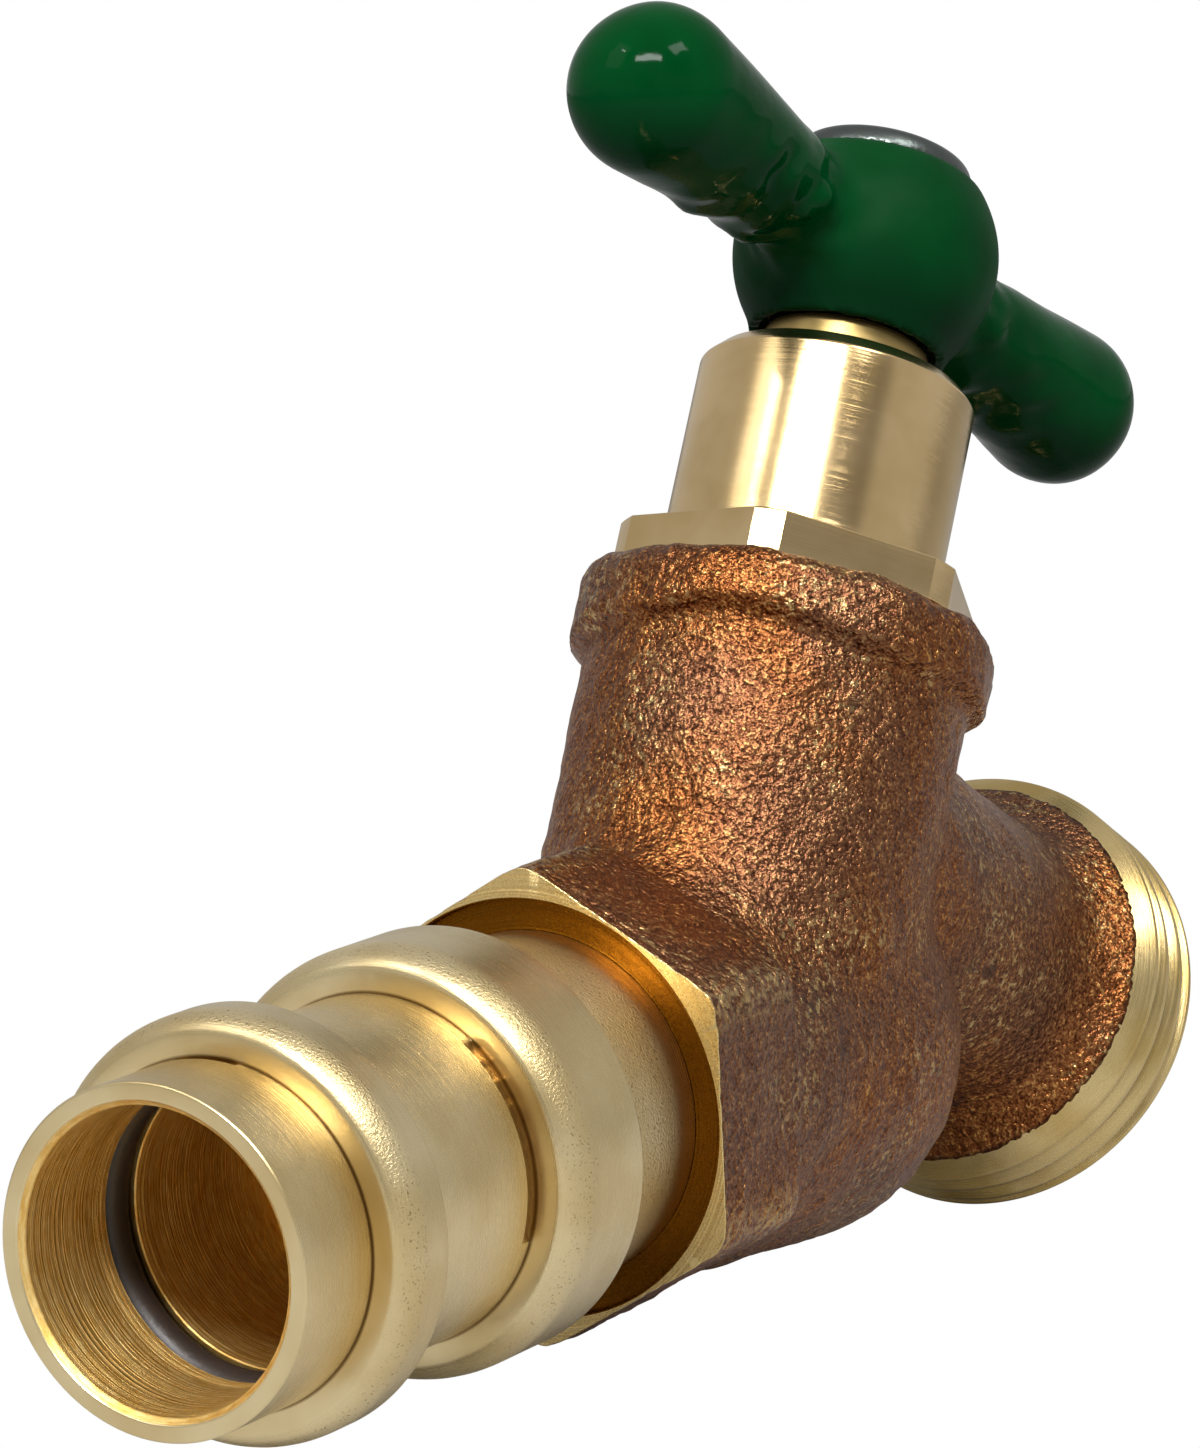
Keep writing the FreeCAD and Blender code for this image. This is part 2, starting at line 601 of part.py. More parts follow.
screw_hole = rod("screw_hole", "screw_r + thread_gap", SQUARE_TOP + " - screw_depth - thread_gap",
                 SQUARE_TOP + " + film")
stem_whole = fuse("stem_whole", shaft, dog, square)
subpart("stem", place(cut("stem_cut", stem_whole, screw_hole), STEM))

SEAL_MID = "groove_low + groove_width / 2"
stem_rings = []
for name, station in (("low_ring", SEAL_MID), ("high_ring", SEAL_MID + " + groove_pitch")):
    stem_rings.append(shift(seal_ring(name, "stem_seal_section", "stem_r + film - stem_seal_section"), z=station))
subpart("stem_seal_rings", place(fuse("stem_rings", *stem_rings), STEM))

washer = tube("washer", "stem_head_r", "stem_r + key_gap", HEAD_TOP + " + film", HEAD_TOP + " + film + washer_height")
subpart("thrust_washer", place(washer, STEM))

clip_ring = tube("clip_ring", "clip_r", "clip_groove_r + thread_gap", CLIP_LOW, CLIP_LOW + " + clip_height")
clip_gap = block("clip_gap", "clip_opening", "2 * clip_r", CLIP_LOW + " - film", CLIP_LOW + " + clip_height + film")
shift(clip_gap, y="-2 * clip_r")
subpart("stem_clip", place(cut("clip", clip_ring, clip_gap), STEM))


def arms(name, ball):
    """Two arms that widen to ball ends, laid across the stem's axis."""
    taper = "arm_angle * 1deg"
    touch_r = "%s * cos(%s)" % (ball, taper)
    touch = "arm_length - %s * sin(%s)" % (ball, taper)
    made = []
    for side, turn in (("_a", "handle_angle"), ("_b", "handle_angle + 180")):
        arm = turned(name + side, [
            ("0", "0"),
            ("%s - (%s) * tan(%s)" % (touch_r, touch, taper), "0"),
            (touch_r, touch, ball, "left"),
            ("0", "arm_length + " + ball),
        ])
        made.append(place(arm, LOCAL, "arm_height", turn, "90"))
    return made


# The tee handle: a metal core, dipped in a thick soft coating that also makes the skirt under the hub.
CORE_TOP = "hub_top - coat"
CORE_HUB = "(hub_r - coat)"
core_hub = turned("core_hub", [
    ("0", SQUARE_LOW),
    ("sqrt(%s ^ 2 - (hub_centre - %s) ^ 2)" % (CORE_HUB, "(" + SQUARE_LOW + ")"), SQUARE_LOW, CORE_HUB, "left"),
    ("sqrt(%s ^ 2 - (%s - hub_centre) ^ 2)" % (CORE_HUB, CORE_TOP), CORE_TOP),
    ("0", CORE_TOP),
])
core = fuse("core", core_hub, *arms("core_arm", "(ball_r - coat)"))
socket_low = SQUARE_LOW + " - film"
square_socket = block("square_socket", "square_side + 2 * thread_gap", "square_side + 2 * thread_gap",
                      socket_low, "hub_top")
socket_round = rod("socket_round", "square_corner_r + thread_gap", socket_low, "hub_top")
subpart("handle_core", place(cut("core_cut", core, common("socket", square_socket, socket_round)), STEM))

hub = turned("hub", [
    ("0", "hub_bottom"),
    ("hub_lip_r", "hub_bottom"),
    ("hub_lip_r", "hub_centre - sqrt(hub_r ^ 2 - hub_lip_r ^ 2)", "hub_r", "left"),
    ("sqrt(hub_r ^ 2 - (hub_top - hub_centre) ^ 2)", "hub_top"),
    ("0", "hub_top"),
])
coating_outside = fuse("coating_outside", hub, *arms("coating_arm", "ball_r"))
hub_recess = rod("hub_recess", "hub_recess_r", "hub_bottom - film", SQUARE_LOW)
coating_hole = rod("coating_hole", "screw_r + key_gap", CORE_TOP + " - film", "hub_top + film")
coating = cut("coating", coating_outside, core, hub_recess, coating_hole)
subpart("handle_coating", place(coating, STEM))

# The handle screw: rounded side, low dome, cross recess.
HEAD_EDGE = "hub_top + screw_head_side"
HEAD_CROWN = HEAD_EDGE + " + screw_head_dome"
DOME_R = "(screw_head_edge_r ^ 2 + screw_head_dome ^ 2) / (2 * screw_head_dome)"
screw_turned = turned("screw_turned", [
    ("0", SQUARE_TOP + " - screw_depth"),
    ("screw_r", SQUARE_TOP + " - screw_depth"),
    ("screw_r", "hub_top"),
    ("screw_head_r", "hub_top", "screw_head_round", "left"),
    ("screw_head_edge_r", HEAD_EDGE, DOME_R, "left"),
    ("0", HEAD_CROWN),
])
drive_low = HEAD_CROWN + " - drive_depth"
drive = fuse("drive", block("drive_along", "drive_length", "drive_width", drive_low, HEAD_CROWN + " + film"),
             block("drive_across", "drive_width", "drive_length", drive_low, HEAD_CROWN + " + film"))
subpart("handle_screw", place(cut("screw", screw_turned, drive), STEM))

doc.recompute()
for piece in doc.Objects:
    faults = [state for state in piece.State if state in ("Invalid", "Error")]
    if faults:
        raise RuntimeError("%s did not compute: %s" % (piece.Label, faults))
os.makedirs("parts", exist_ok=True)
for piece in SUBPARTS:
    shape = piece.Shape
    if shape.isNull() or not shape.isValid():
        raise RuntimeError(piece.Label + " has no valid shape")
    if shape.Volume <= 0 or not shape.Solids:
        raise RuntimeError(piece.Label + " is not a solid")
    print("%-20s %9.2f mm3, %d solid" % (piece.Label, shape.Volume, len(shape.Solids)))
for piece in SUBPARTS:
    piece.Shape.exportStep("parts/%s.step" % piece.Label)
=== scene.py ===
import math
from functools import partial
import bmesh
import bpy
import numpy as np
from mathutils import Matrix, Vector


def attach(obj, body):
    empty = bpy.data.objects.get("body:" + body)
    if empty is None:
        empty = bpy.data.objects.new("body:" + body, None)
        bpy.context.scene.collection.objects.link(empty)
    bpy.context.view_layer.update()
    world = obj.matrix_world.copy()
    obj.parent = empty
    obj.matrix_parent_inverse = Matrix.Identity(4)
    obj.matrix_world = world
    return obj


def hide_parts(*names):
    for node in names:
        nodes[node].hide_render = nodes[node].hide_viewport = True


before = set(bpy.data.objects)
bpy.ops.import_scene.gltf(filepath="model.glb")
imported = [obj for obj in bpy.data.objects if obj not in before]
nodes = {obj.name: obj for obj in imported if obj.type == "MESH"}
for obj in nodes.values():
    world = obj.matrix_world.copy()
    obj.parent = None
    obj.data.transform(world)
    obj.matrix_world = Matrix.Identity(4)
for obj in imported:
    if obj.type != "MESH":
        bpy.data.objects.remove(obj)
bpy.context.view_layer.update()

# The casting: a rough sand-cast bronze body. Hexagon round the adapter, inlet barrel with a round
# end, neck with a swollen collar, and the outlet branch with its flare. Only the face of the hexagon
# and the bores are machined, so the rest keeps the grain of the sand. All sizes are in millimetres.
STEM_DISTANCE = 55.8
STEM_LEAN = 28.6
OUTLET_RISE = 13.7


def axis_frame(origin, tilt):
    """A line of the tap: a point on it, its direction, and the direction square to it and to X."""
    a = math.radians(tilt)
    direction = np.array((0, -math.sin(a), math.cos(a)))
    up = np.array((0, math.cos(a), math.sin(a)))
    return np.array(origin, float), direction, up


inlet = axis_frame((0, 0, 0), 90)
stem = axis_frame((0, -STEM_DISTANCE, 0), STEM_LEAN)
outlet = axis_frame(stem[0] + OUTLET_RISE * stem[1], 90 + STEM_LEAN)


def length_and_way(v):
    """Lengths of vectors, and the same vectors made one long."""
    length = np.linalg.norm(v, axis=1)
    return length, v / np.maximum(length, 1e-6)[:, None]


def about(p, line):
    """Station along a line, distance from it, and the unit vector away from it."""
    origin, direction, _ = line
    rel = p - origin
    station = rel @ direction
    return (station, *length_and_way(rel - station[:, None] * direction))


def ramp(value, low, high):
    """Smooth step from 0 to 1."""
    u = np.clip((value - low) / (high - low), 0, 1)
    return u * u * (3 - 2 * u)


def soft_max(a, b, k):
    """The larger of two, with the change from one to the other rounded over a width."""
    h = np.clip(1 - np.abs(a - b) / k, 0, 1)
    return np.maximum(a, b) + h * h * k / 4


def weld(one, other, size):
    """Joins two forms with a cast fillet, none where they already run side by side."""
    (a, na), (b, nb) = one, other
    k = size * np.clip(1 - (na * nb).sum(1), 0, 1) + 1e-6
    h = np.clip(1 - np.abs(a - b) / k, 0, 1)
    share = np.clip(0.5 + 0.5 * (b - a) / k, 0, 1)[:, None]
    return np.minimum(a, b) - h * h * k / 4, length_and_way(na * share + nb * (1 - share))[1]


def waves(p, length, seed, count=28):
    """Even, seeded unevenness between about -1 and 1, with waves of a given length."""
    rng = np.random.default_rng(seed)
    k = rng.normal(size=(count, 3))
    stretch = rng.uniform(0.6, 1.5, (count, 1))
    k *= (2 * math.pi / length) * stretch / np.linalg.norm(k, axis=1)[:, None]
    return np.cos(p @ k.T + rng.uniform(0, 2 * math.pi, count)).sum(1) * math.sqrt(2 / count) * 0.5


HEX_FACE = 36.7
RIM_BACK = 37.5
HEX_END = 46.2
HEX_ROUND = 1.6
HEX_CORNER = 13.97
HALF_FLATS = 12.1
EDGE_ROUND = 0.5


def hexagon_form(p):
    """A hexagonal bar with its far corners rounded off."""
    station, radius, _ = about(p, inlet)
    best, normal = None, None
    for turn in (0, 60, 120):
        flat = np.array((math.cos(math.radians(turn)), 0, math.sin(math.radians(turn))))
        across = p @ flat
        d = np.abs(across) - HALF_FLATS
        n = np.sign(across)[:, None] * flat
        if best is None:
            best, normal = d, n
        else:
            normal = np.where((d > best)[:, None], n, normal)
            best = soft_max(best, d, EDGE_ROUND)
    past_end = np.maximum(station - HEX_END + HEX_ROUND, 0)
    past_corner = np.maximum(radius - HEX_CORNER + HEX_ROUND, 0)
    rounding = np.hypot(past_end, past_corner) - HEX_ROUND + 0.1
    return soft_max(soft_max(best, rounding, 0.8), station - HEX_END, 0.8), normal


ROUND_END = np.array((0, -62.4, -1.4))
ROUND_END_R = 12.2
BARREL_LOW = 3.0
BARREL_R = 11.3
BARREL_GROWTH = 0.9
BARREL_TAPER = 4.75
barrel_start = np.array((0, -HEX_FACE, 0))
barrel_length = np.linalg.norm(ROUND_END - barrel_start)
barrel_way = (ROUND_END - barrel_start) / barrel_length


def along_barrel(p):
    """Station on the barrel's line, the way off that line, and the way from the round end."""
    rel = p - barrel_start
    station = rel @ barrel_way
    return station, rel - station[:, None] * barrel_way, p - ROUND_END


def barrel_form(p):
    """The inlet barrel, a little wider towards its round end."""
    station, off, from_end = along_barrel(p)
    radius, away = length_and_way(off)
    reach, outward = length_and_way(from_end)
    growth = np.clip((station - BARREL_TAPER) / (barrel_length - BARREL_TAPER), -0.3, 1)
    past = station > barrel_length
    d = np.where(past, reach - ROUND_END_R, radius - (BARREL_R + BARREL_GROWTH * growth))
    return np.maximum(d, BARREL_LOW - station), np.where(past[:, None], outward, away)


NECK_R = 11.2
NECK_GROWTH = 0.45
NECK_LENGTH = 21.6
NECK_TOP = 26.8
COLLAR_FOOT = (21.9, 23.1)
COLLAR_SWELL = 1.03
COLLAR_ROUND = 1.7


def neck_form(p):
    """The neck with its collar, whose foot and girth are uneven."""
    station, radius, away = about(p, stem)
    swell = ramp(station + 0.45 * waves(p, 11.0, 5), *COLLAR_FOOT)
    outline = NECK_R + NECK_GROWTH * np.clip(station / NECK_LENGTH, 0, 1)
    outline = outline + swell * (COLLAR_SWELL + 0.12 * waves(p, 7.0, 6))
    topped = soft_max(radius - outline, station - NECK_TOP, COLLAR_ROUND)
    return soft_max(topped, -station, 0.5), away


BRANCH_R = 9.6
BRANCH_GROWTH = 0.38
BRANCH_LENGTH = 24.9
FLARE_FOOT = 26.0
FLARE_END = 29.84
FLARE_RISE = 2.48
CASTING_END = 30.3


def branch_form(p):
    """The outlet branch, with a hollow run-up to the thin edge of its flare."""
    station, radius, away = about(p, outlet)
    foot = FLARE_FOOT + 0.3 * waves(p, 6.0, 8)
    flare = np.clip((station - foot) / (FLARE_END - foot), 0, 1) ** 2.3
    outline = BRANCH_R + BRANCH_GROWTH * np.clip(station / BRANCH_LENGTH, 0, 1)
    outline = outline + flare * (FLARE_RISE + 0.03 * waves(p, 1.7, 9))
    return np.maximum(radius - outline, -station), away


# The round holes on each line, as radius, first and last station: the adapter's socket; the port in
# the web, the room round the cage, the bore of the headwork and its seal's recess; the waterway.
WATER_R = 7.4
HOLES = (
    (inlet, ((9.05, -math.inf, 47.4),)),
    (stem, ((5.6, 0, 6.0), (9.6, 5.0, 20.5), (9.0, 6.0, 30.0), (10.05, 25.3, math.inf))),
    (outlet, ((WATER_R, 0, math.inf),)),
)
CHAMBER_R = 9.5
CHAMBER_START = 9.9
CHAMBER_TOP = 2.0


def hollow_form(p):
    """The round holes, and the cored chamber between the adapter and the web."""
    found = []
    for line, holes in HOLES:
        station, radius, _ = about(p, line)
        for r, low, high in holes:
            found.append(np.maximum(radius - r, np.maximum(low - station, station - high)))
    station, off, from_end = along_barrel(p)
    nearest = np.where((station > barrel_length)[:, None], from_end, off)
    chamber = np.maximum(np.linalg.norm(nearest, axis=1) - CHAMBER_R, CHAMBER_START - station)
    found.append(np.maximum(chamber, (p - stem[0]) @ stem[1] - CHAMBER_TOP))
    return np.minimum.reduce(found)


NECK_FILLET = 7.0
HEXAGON_FILLET = 4.5
BARREL_FILLET = 1.2
BRANCH_FILLET = 1.3
SAND = ((0.09, 6.5, 1), (0.06, 2.6, 2), (0.045, 1.4, 3))


def rough_form(p):
    """The outside as it comes from the mould. The sand's unevenness has heights, lengths and seeds."""
    neck = neck_form(p)
    towards_inlet = weld(neck, hexagon_form(p), HEXAGON_FILLET)
    outer = weld(weld(neck, barrel_form(p), NECK_FILLET), towards_inlet, BARREL_FILLET)
    outer = weld(outer, branch_form(p), BRANCH_FILLET)[0]
    close = np.abs(outer) < 0.8
    q = p[close]
    grain = sum(height * waves(q, length, seed) for height, length, seed in SAND)
    past_rim = ramp(q @ inlet[1], RIM_BACK, RIM_BACK + 1.2)
    at_flare = ramp((q - outlet[0]) @ outlet[1], 27.8, 29.4)
    outer[close] -= grain * past_rim * (1 - 0.88 * at_flare)
    return outer


def casting_form(p):
    """The whole casting, without the rim of the hexagon and the end of the outlet."""
    outer = np.maximum(rough_form(p), (p - outlet[0]) @ outlet[1] - CASTING_END)
    outer = np.maximum(outer, RIM_BACK - p @ inlet[1])
    return np.maximum(outer, -hollow_form(p))


def slope(form, p, step=0.01):
    """How fast a form grows along X, Y and Z."""
    return np.stack([(form(p + d) - form(p - d)) / (2 * step) for d in np.eye(3) * step], axis=1)


def settle(form, p, rounds=4):
    """Moves points straight onto a form's surface."""
    for _ in range(rounds):
        g = slope(form, p)
        p = p - np.clip(form(p) / np.maximum((g * g).sum(1), 0.2), -0.4, 0.4)[:, None] * g
    return p


def skin(form, low, high, pitch):
    """A closed mesh over a form: one point in each cell that the surface crosses, moved onto it."""
    block = 4
    counts = [int(math.ceil((b - a) / pitch / block)) * block for a, b in zip(low, high)]
    axes = [a + pitch * np.arange(n) for a, n in zip(low, counts)]
    grid = np.stack(np.meshgrid(*axes, indexing="ij"), axis=-1)
    middles = grid[::block, ::block, ::block] + pitch * (block - 1) / 2
    values = form(middles.reshape(-1, 3)).reshape(middles.shape[:3])
    for axis in range(3):
        values = values.repeat(block, axis)
    close = np.abs(values) < pitch * block + 0.6
    values[close] = form(grid[close])
    shape = values.shape
    inside = values < 0
    sums = np.zeros([n - 1 for n in shape] + [3])
    counts = np.zeros([n - 1 for n in shape])
    for axis in range(3):
        a = np.moveaxis(inside, axis, 0)
        crossing = np.moveaxis(a[1:] != a[:-1], 0, axis)
        v = np.moveaxis(values, axis, 0)
        with np.errstate(divide="ignore", invalid="ignore"):
            part = np.moveaxis(v[:-1] / (v[:-1] - v[1:]), 0, axis)
        start = np.moveaxis(np.moveaxis(grid, axis, 0)[:-1], 0, axis)
        spot = start + np.where(crossing, part, 0)[..., None] * pitch * np.eye(3)[axis]
        others = [i for i in range(3) if i != axis]
        for i, j in ((0, 0), (0, 1), (1, 0), (1, 1)):
            pick = [slice(None)] * 3
            pick[others[0]] = slice(i, shape[others[0]] - 1 + i)
            pick[others[1]] = slice(j, shape[others[1]] - 1 + j)
            hit = crossing[tuple(pick)]
            sums += np.where(hit[..., None], spot[tuple(pick)], 0)
            counts += hit
    active = counts > 0
    number = np.full(active.shape, -1)
    number[active] = np.arange(active.sum())
    faces = []
    for axis in range(3):
        others = [(axis + 1) % 3, (axis + 2) % 3]
        a = np.moveaxis(inside, axis, 0)
        where = np.argwhere(np.moveaxis(a[1:] != a[:-1], 0, axis))
        quads = []
        for i, j in ((1, 1), (0, 1), (0, 0), (1, 0)):
            cell = where.copy()
            cell[:, others[0]] -= i
            cell[:, others[1]] -= j
            quads.append(number[tuple(cell.T)])
        quads = np.stack(quads, axis=1)
        outward = np.moveaxis(a[:-1] & ~a[1:], 0, axis)[tuple(where.T)]
        quads[~outward] = quads[~outward][:, ::-1]
        faces.append(quads)
    return settle(form, sums[active] / counts[active][:, None]), np.concatenate(faces)


def placed(name, mesh, body, slot, sharp):
    """Puts a finished mesh in the scene, with smooth faces and sharp edges past an angle."""
    mesh.shade_smooth()
    mesh.set_sharp_from_angle(angle=math.radians(sharp))
    made = bpy.data.objects.new(name, mesh)
    bpy.context.scene.collection.objects.link(made)
    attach(made, body)
    return made


MM = 0.001


def piece(name, points, faces, body, slot, sharp=40):
    """A finished piece from points in millimetres."""
    mesh = bpy.data.meshes.new(name)
    mesh.from_pydata((np.asarray(points) * MM).tolist(), [], np.asarray(faces).tolist())
    mesh.validate()
    return placed(name, mesh, body, slot, sharp)


CASTING_BOX = ((-14.6, -95.9, -18.5), (14.6, -36.2, 32.0))
casting = piece("casting", *skin(casting_form, *CASTING_BOX, 0.42),
                "valve", "cast_bronze", 48)
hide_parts("valve_body")


def linear(text):
    """A colour as it is written in a picture, turned into the light that Blender works with."""
    parts = [int(text[i:i + 2], 16) / 255 for i in (1, 3, 5)]
    return [p / 12.92 if p < 0.04045 else ((p + 0.055) / 1.055) ** 2.4 for p in parts] + [1]


def feed(node, *values, stops=(), **named):
    """Fills a node: small-letter names are its settings, the rest are inputs, in order or by name."""
    for key, value in named.items():
        if key[0].islower():
            setattr(node, key, value)
    pairs = list(zip([s for s in node.inputs if s.enabled], values))
    pairs += [(node.inputs[key.replace("_", " ")], value)
              for key, value in named.items() if not key[0].islower()]
    for socket, value in pairs:
        if isinstance(value, bpy.types.NodeSocket):
            node.id_data.links.new(value, socket)
        else:
            socket.default_value = linear(value) if isinstance(value, str) else value
    if stops:
        node.color_ramp.interpolation = "EASE"
        elements = node.color_ramp.elements
        while len(elements) < len(stops):
            elements.new(0.5)
        for element, (spot, colour) in zip(elements, stops):
            element.position = spot
            element.color = linear(colour) if isinstance(colour, str) else (colour, colour, colour, 1)


def add(tree, kind, *values, out=None, **named):
    """Adds a node, fills it, and gives back one output: the first in use, unless another is named."""
    made = tree.nodes.new(kind if "Node" in kind else "ShaderNode" + kind)
    feed(made, *values, **named)
    return made.outputs[out] if out is not None else next((s for s in made.outputs if s.enabled), None)


def material(name, **constants):
    """A material, a way to add its nodes, its shader, and the place on the object in millimetres."""
    made = bpy.data.materials.new(name)
    made.use_nodes = True
    node = partial(add, made.node_tree)
    shader = made.node_tree.nodes["Principled BSDF"]
    feed(shader, **constants)
    mm = node("VectorMath", node("TexCoord", out="Object"), 1 / MM, operation="SCALE")
    return made, node, shader, mm


def along(node, mm, line):
    """Station along a line of the tap."""
    origin, direction, _ = line
    reach = node("VectorMath", mm, tuple(direction), operation="DOT_PRODUCT")
    return node("Math", reach, float(origin @ direction), operation="SUBTRACT")


def radius_about(node, mm, line):
    """Distance from a line of the tap."""
    rel = node("VectorMath", mm, tuple(line[0]), operation="SUBTRACT")
    across = node("VectorMath", rel, tuple(line[1]), operation="CROSS_PRODUCT")
    return node("VectorMath", across, operation="LENGTH")


def tool_marks(node, mm, line, spacing):
    """Fine turning marks round a line, as a height."""
    return node("TexNoise", along(node, mm, line), 1 / spacing, 3, 0.7, noise_dimensions="1D")


# Cast bronze: a mauve-brown to coppery skin with pebbles and grain as coarse as the moulding sand,
# scraped to a golden cream on patches and on the corners of the hexagon. It is bright where it is cut,
# except for painted shade in the recess round the adapter and a painted shadow along the flare's edge.
SMOOTH = {"interpolation_type": "SMOOTHSTEP"}
bronze, node, shader, mm = material("cast bronze, sand skin", Metallic=1.0)
pebbles = node("TexNoise", mm, 1 / 0.43, 2, 0.45)
grain = node("TexNoise", mm, 1 / 0.18, 1, 0.5)
mottle = node("TexNoise", mm, 1 / 2.4, 4, 0.6)
level = node("Math", mottle, 0.15, operation="MULTIPLY")
level = node("Math", pebbles, 0.35, level, operation="MULTIPLY_ADD")
level = node("Math", grain, 0.5, level, operation="MULTIPLY_ADD")
mauve = node("ValToRGB", level,
             stops=((0.36, "#4e3020"), (0.46, "#6e4631"), (0.55, "#885d3f"), (0.66, "#b98b5c")))
copper = node("ValToRGB", level,
              stops=((0.36, "#522c16"), (0.46, "#794524"), (0.55, "#965e33"), (0.66, "#cb9755")))
warm = node("MapRange", node("TexNoise", mm, 1 / 16.0, 2), 0.42, 0.6, **SMOOTH)
colour = node("Mix", warm, mauve, copper, data_type="RGBA")

from_axis = radius_about(node, mm, inlet)
place = along(node, mm, inlet)
on_hexagon = node("MapRange", place, 45.4, 46.8, 1, 0, **SMOOTH)
corners = node("MapRange", from_axis, 12.8, 13.9, **SMOOTH)
corners = node("Math", corners, on_hexagon, operation="MULTIPLY")
flat_end = node("Math", node("MapRange", place, 45.2, 45.9, 0, 0.6, **SMOOTH),
                node("MapRange", from_axis, 11.9, 12.5, **SMOOTH), operation="MULTIPLY")
flat_end = node("Math", flat_end, on_hexagon, operation="MULTIPLY")
corners = node("Math", corners, flat_end, operation="MAXIMUM")
flecks = node("TexNoise", mm, 1 / 0.5, 5, 0.7)
patches = node("MapRange", node("TexNoise", mm, 1 / 9.0, 3), 0.47, 0.6, **SMOOTH)
rubbed = node("Math", node("MapRange", flecks, 0.54, 0.62, **SMOOTH), patches, operation="MULTIPLY")
scraped = node("Math", node("MapRange", flecks, 0.45, 0.58, **SMOOTH), corners, operation="MULTIPLY")
worn = node("Math", node("Math", rubbed, scraped, operation="MAXIMUM"), 0.65, operation="MULTIPLY")
colour = node("Mix", worn, colour, "#e0c184", data_type="RGBA")
smudges = node("MapRange", node("TexNoise", mm, 1 / 3.2, 4, 0.6), 0.63, 0.72, 0, 0.55, **SMOOTH)
colour = node("Mix", smudges, colour, "#43342d", data_type="RGBA")
# A painted shadow: a thin dark line along the ragged edge of the flare.
flare_edge_shadow = node("MapRange", along(node, mm, outlet), 29.7, FLARE_END, 0, 0.75, **SMOOTH)
colour = node("Mix", flare_edge_shadow, colour, "#3a2216", data_type="RGBA")

in_recess = node("Math", node("Math", from_axis, 11.95, operation="LESS_THAN"),
                 node("Math", place, 38.2, operation="LESS_THAN"), operation="MULTIPLY")
machined = node("MapRange", place, HEX_FACE + 0.03, HEX_FACE + 0.12, 1, 0, **SMOOTH)
machined = node("Math", machined, in_recess, operation="MAXIMUM")
# Painted shade: the recess round the adapter is given a darker, deeper colour than the face.
machined_colour_and_recess_shade = node("Mix", in_recess, "#ecd092", "#7a4c0e", data_type="RGBA")
rough = node("Math", grain, 0.26, 0.2, operation="MULTIPLY_ADD")
as_cast = node("Math", 1.0, machined, operation="SUBTRACT")
rings = node("TexNoise", from_axis, 8.0, 3, 0.6, noise_dimensions="1D")
relief = {}
for height, share, depth in ((pebbles, as_cast, 0.26), (grain, as_cast, 0.08),
                             (rings, machined, 0.05)):
    height = node("Math", height, share, operation="MULTIPLY")
    relief = {"Normal": node("Bump", Height=height, Distance=depth * MM, **relief)}
feed(shader, Base_Color=node("Mix", machined, colour, machined_colour_and_recess_shade, data_type="RGBA"),
     Roughness=node("Math", machined, -0.05, rough, operation="MULTIPLY_ADD"), **relief)
casting.data.materials.append(bronze)


# The rim of the hexagon: the same casting where it is faced off, with the recess turned round the
# adapter. It is only a quarter of a millimetre thick in the middle of each flat.
def eased(corners, steps=5):
    """Rounds the corners of a closed outline, each given as radius, station and reach."""
    outline = []
    count = len(corners)
    for i, (r, s, reach) in enumerate(corners):
        here = np.array((r, s), float)
        before = np.array(corners[i - 1][:2], float) - here
        after = np.array(corners[(i + 1) % count][:2], float) - here
        if reach <= 0:
            outline.append(here)
            continue
        a = here + before / np.linalg.norm(before) * min(reach, 0.49 * np.linalg.norm(before))
        b = here + after / np.linalg.norm(after) * min(reach, 0.49 * np.linalg.norm(after))
        cosine = before @ after / np.linalg.norm(before) / np.linalg.norm(after)
        weight = math.sqrt(max((1 - cosine) / 2, 0))
        for u in np.linspace(0, 1, steps + 1):
            w = 2 * u * (1 - u) * weight
            total = (1 - u) ** 2 + w + u * u
            outline.append(((1 - u) ** 2 * a + w * here + u * u * b) / total)
    return np.array(outline)


def spaced(outline, longest):
    """Adds points along the long straight runs of a closed outline."""
    made = []
    for a, b in zip(outline, np.roll(outline, -1, axis=0)):
        parts = max(1, int(math.ceil(np.linalg.norm(b - a) / longest)))
        made += [a + (b - a) * i / parts for i in range(parts)]
    return np.array(made)


def turned(outline, line, angles, rule=None):
    """Sweeps a closed outline round a line of the tap. The rule may change the radii."""
    origin, direction, up = line
    r = np.repeat(outline[:, :1], len(angles), axis=1)
    s = np.repeat(outline[:, 1:], len(angles), axis=1)
    turn = np.repeat(np.asarray(angles)[None, :], len(outline), axis=0)
    if rule is not None:
        r = rule(r, s, turn)
    side = np.cos(turn)[..., None] * np.array((1.0, 0, 0)) + np.sin(turn)[..., None] * up
    points = origin + s[..., None] * direction + r[..., None] * side
    rows, columns = r.shape
    i, j = np.meshgrid(np.arange(rows), np.arange(columns), indexing="ij")
    ni, nj = (i + 1) % rows, (j + 1) % columns
    faces = (i * columns + j, ni * columns + j, ni * columns + nj, i * columns + nj)
    return points.reshape(-1, 3), np.stack(faces, axis=-1).reshape(-1, 4)


RECESS_R = 11.85
RIM_R = 12.5
rim_angles = np.radians(np.arange(0, 360, 0.5))
ray = np.stack((np.cos(rim_angles), 0 * rim_angles, np.sin(rim_angles)), axis=1)
on_bar = np.array((0, -40.0, 0))
low, high = np.full(len(ray), 11.0), np.full(len(ray), 15.0)
for _ in range(24):
    middle = (low + high) / 2
    inside = hexagon_form(ray * middle[:, None] + on_bar)[0] < 0
    low, high = np.where(inside, middle, low), np.where(inside, high, middle)
hexagon_edge = low


def rim_rule(r, s, turn):
    """Brings the outer rows out to the hexagon, with small chips along the front edge."""
    side = np.stack((np.cos(turn) * 12, -s, np.sin(turn) * 12), axis=-1)
    chips = np.maximum(waves(side.reshape(-1, 3), 1.1, 31), 0).reshape(r.shape)
    reach = hexagon_edge[None, :] + (r - RIM_R) - 0.07 * chips * (s < HEX_FACE + 0.1)
    return np.where(r > 12.2, reach, r)


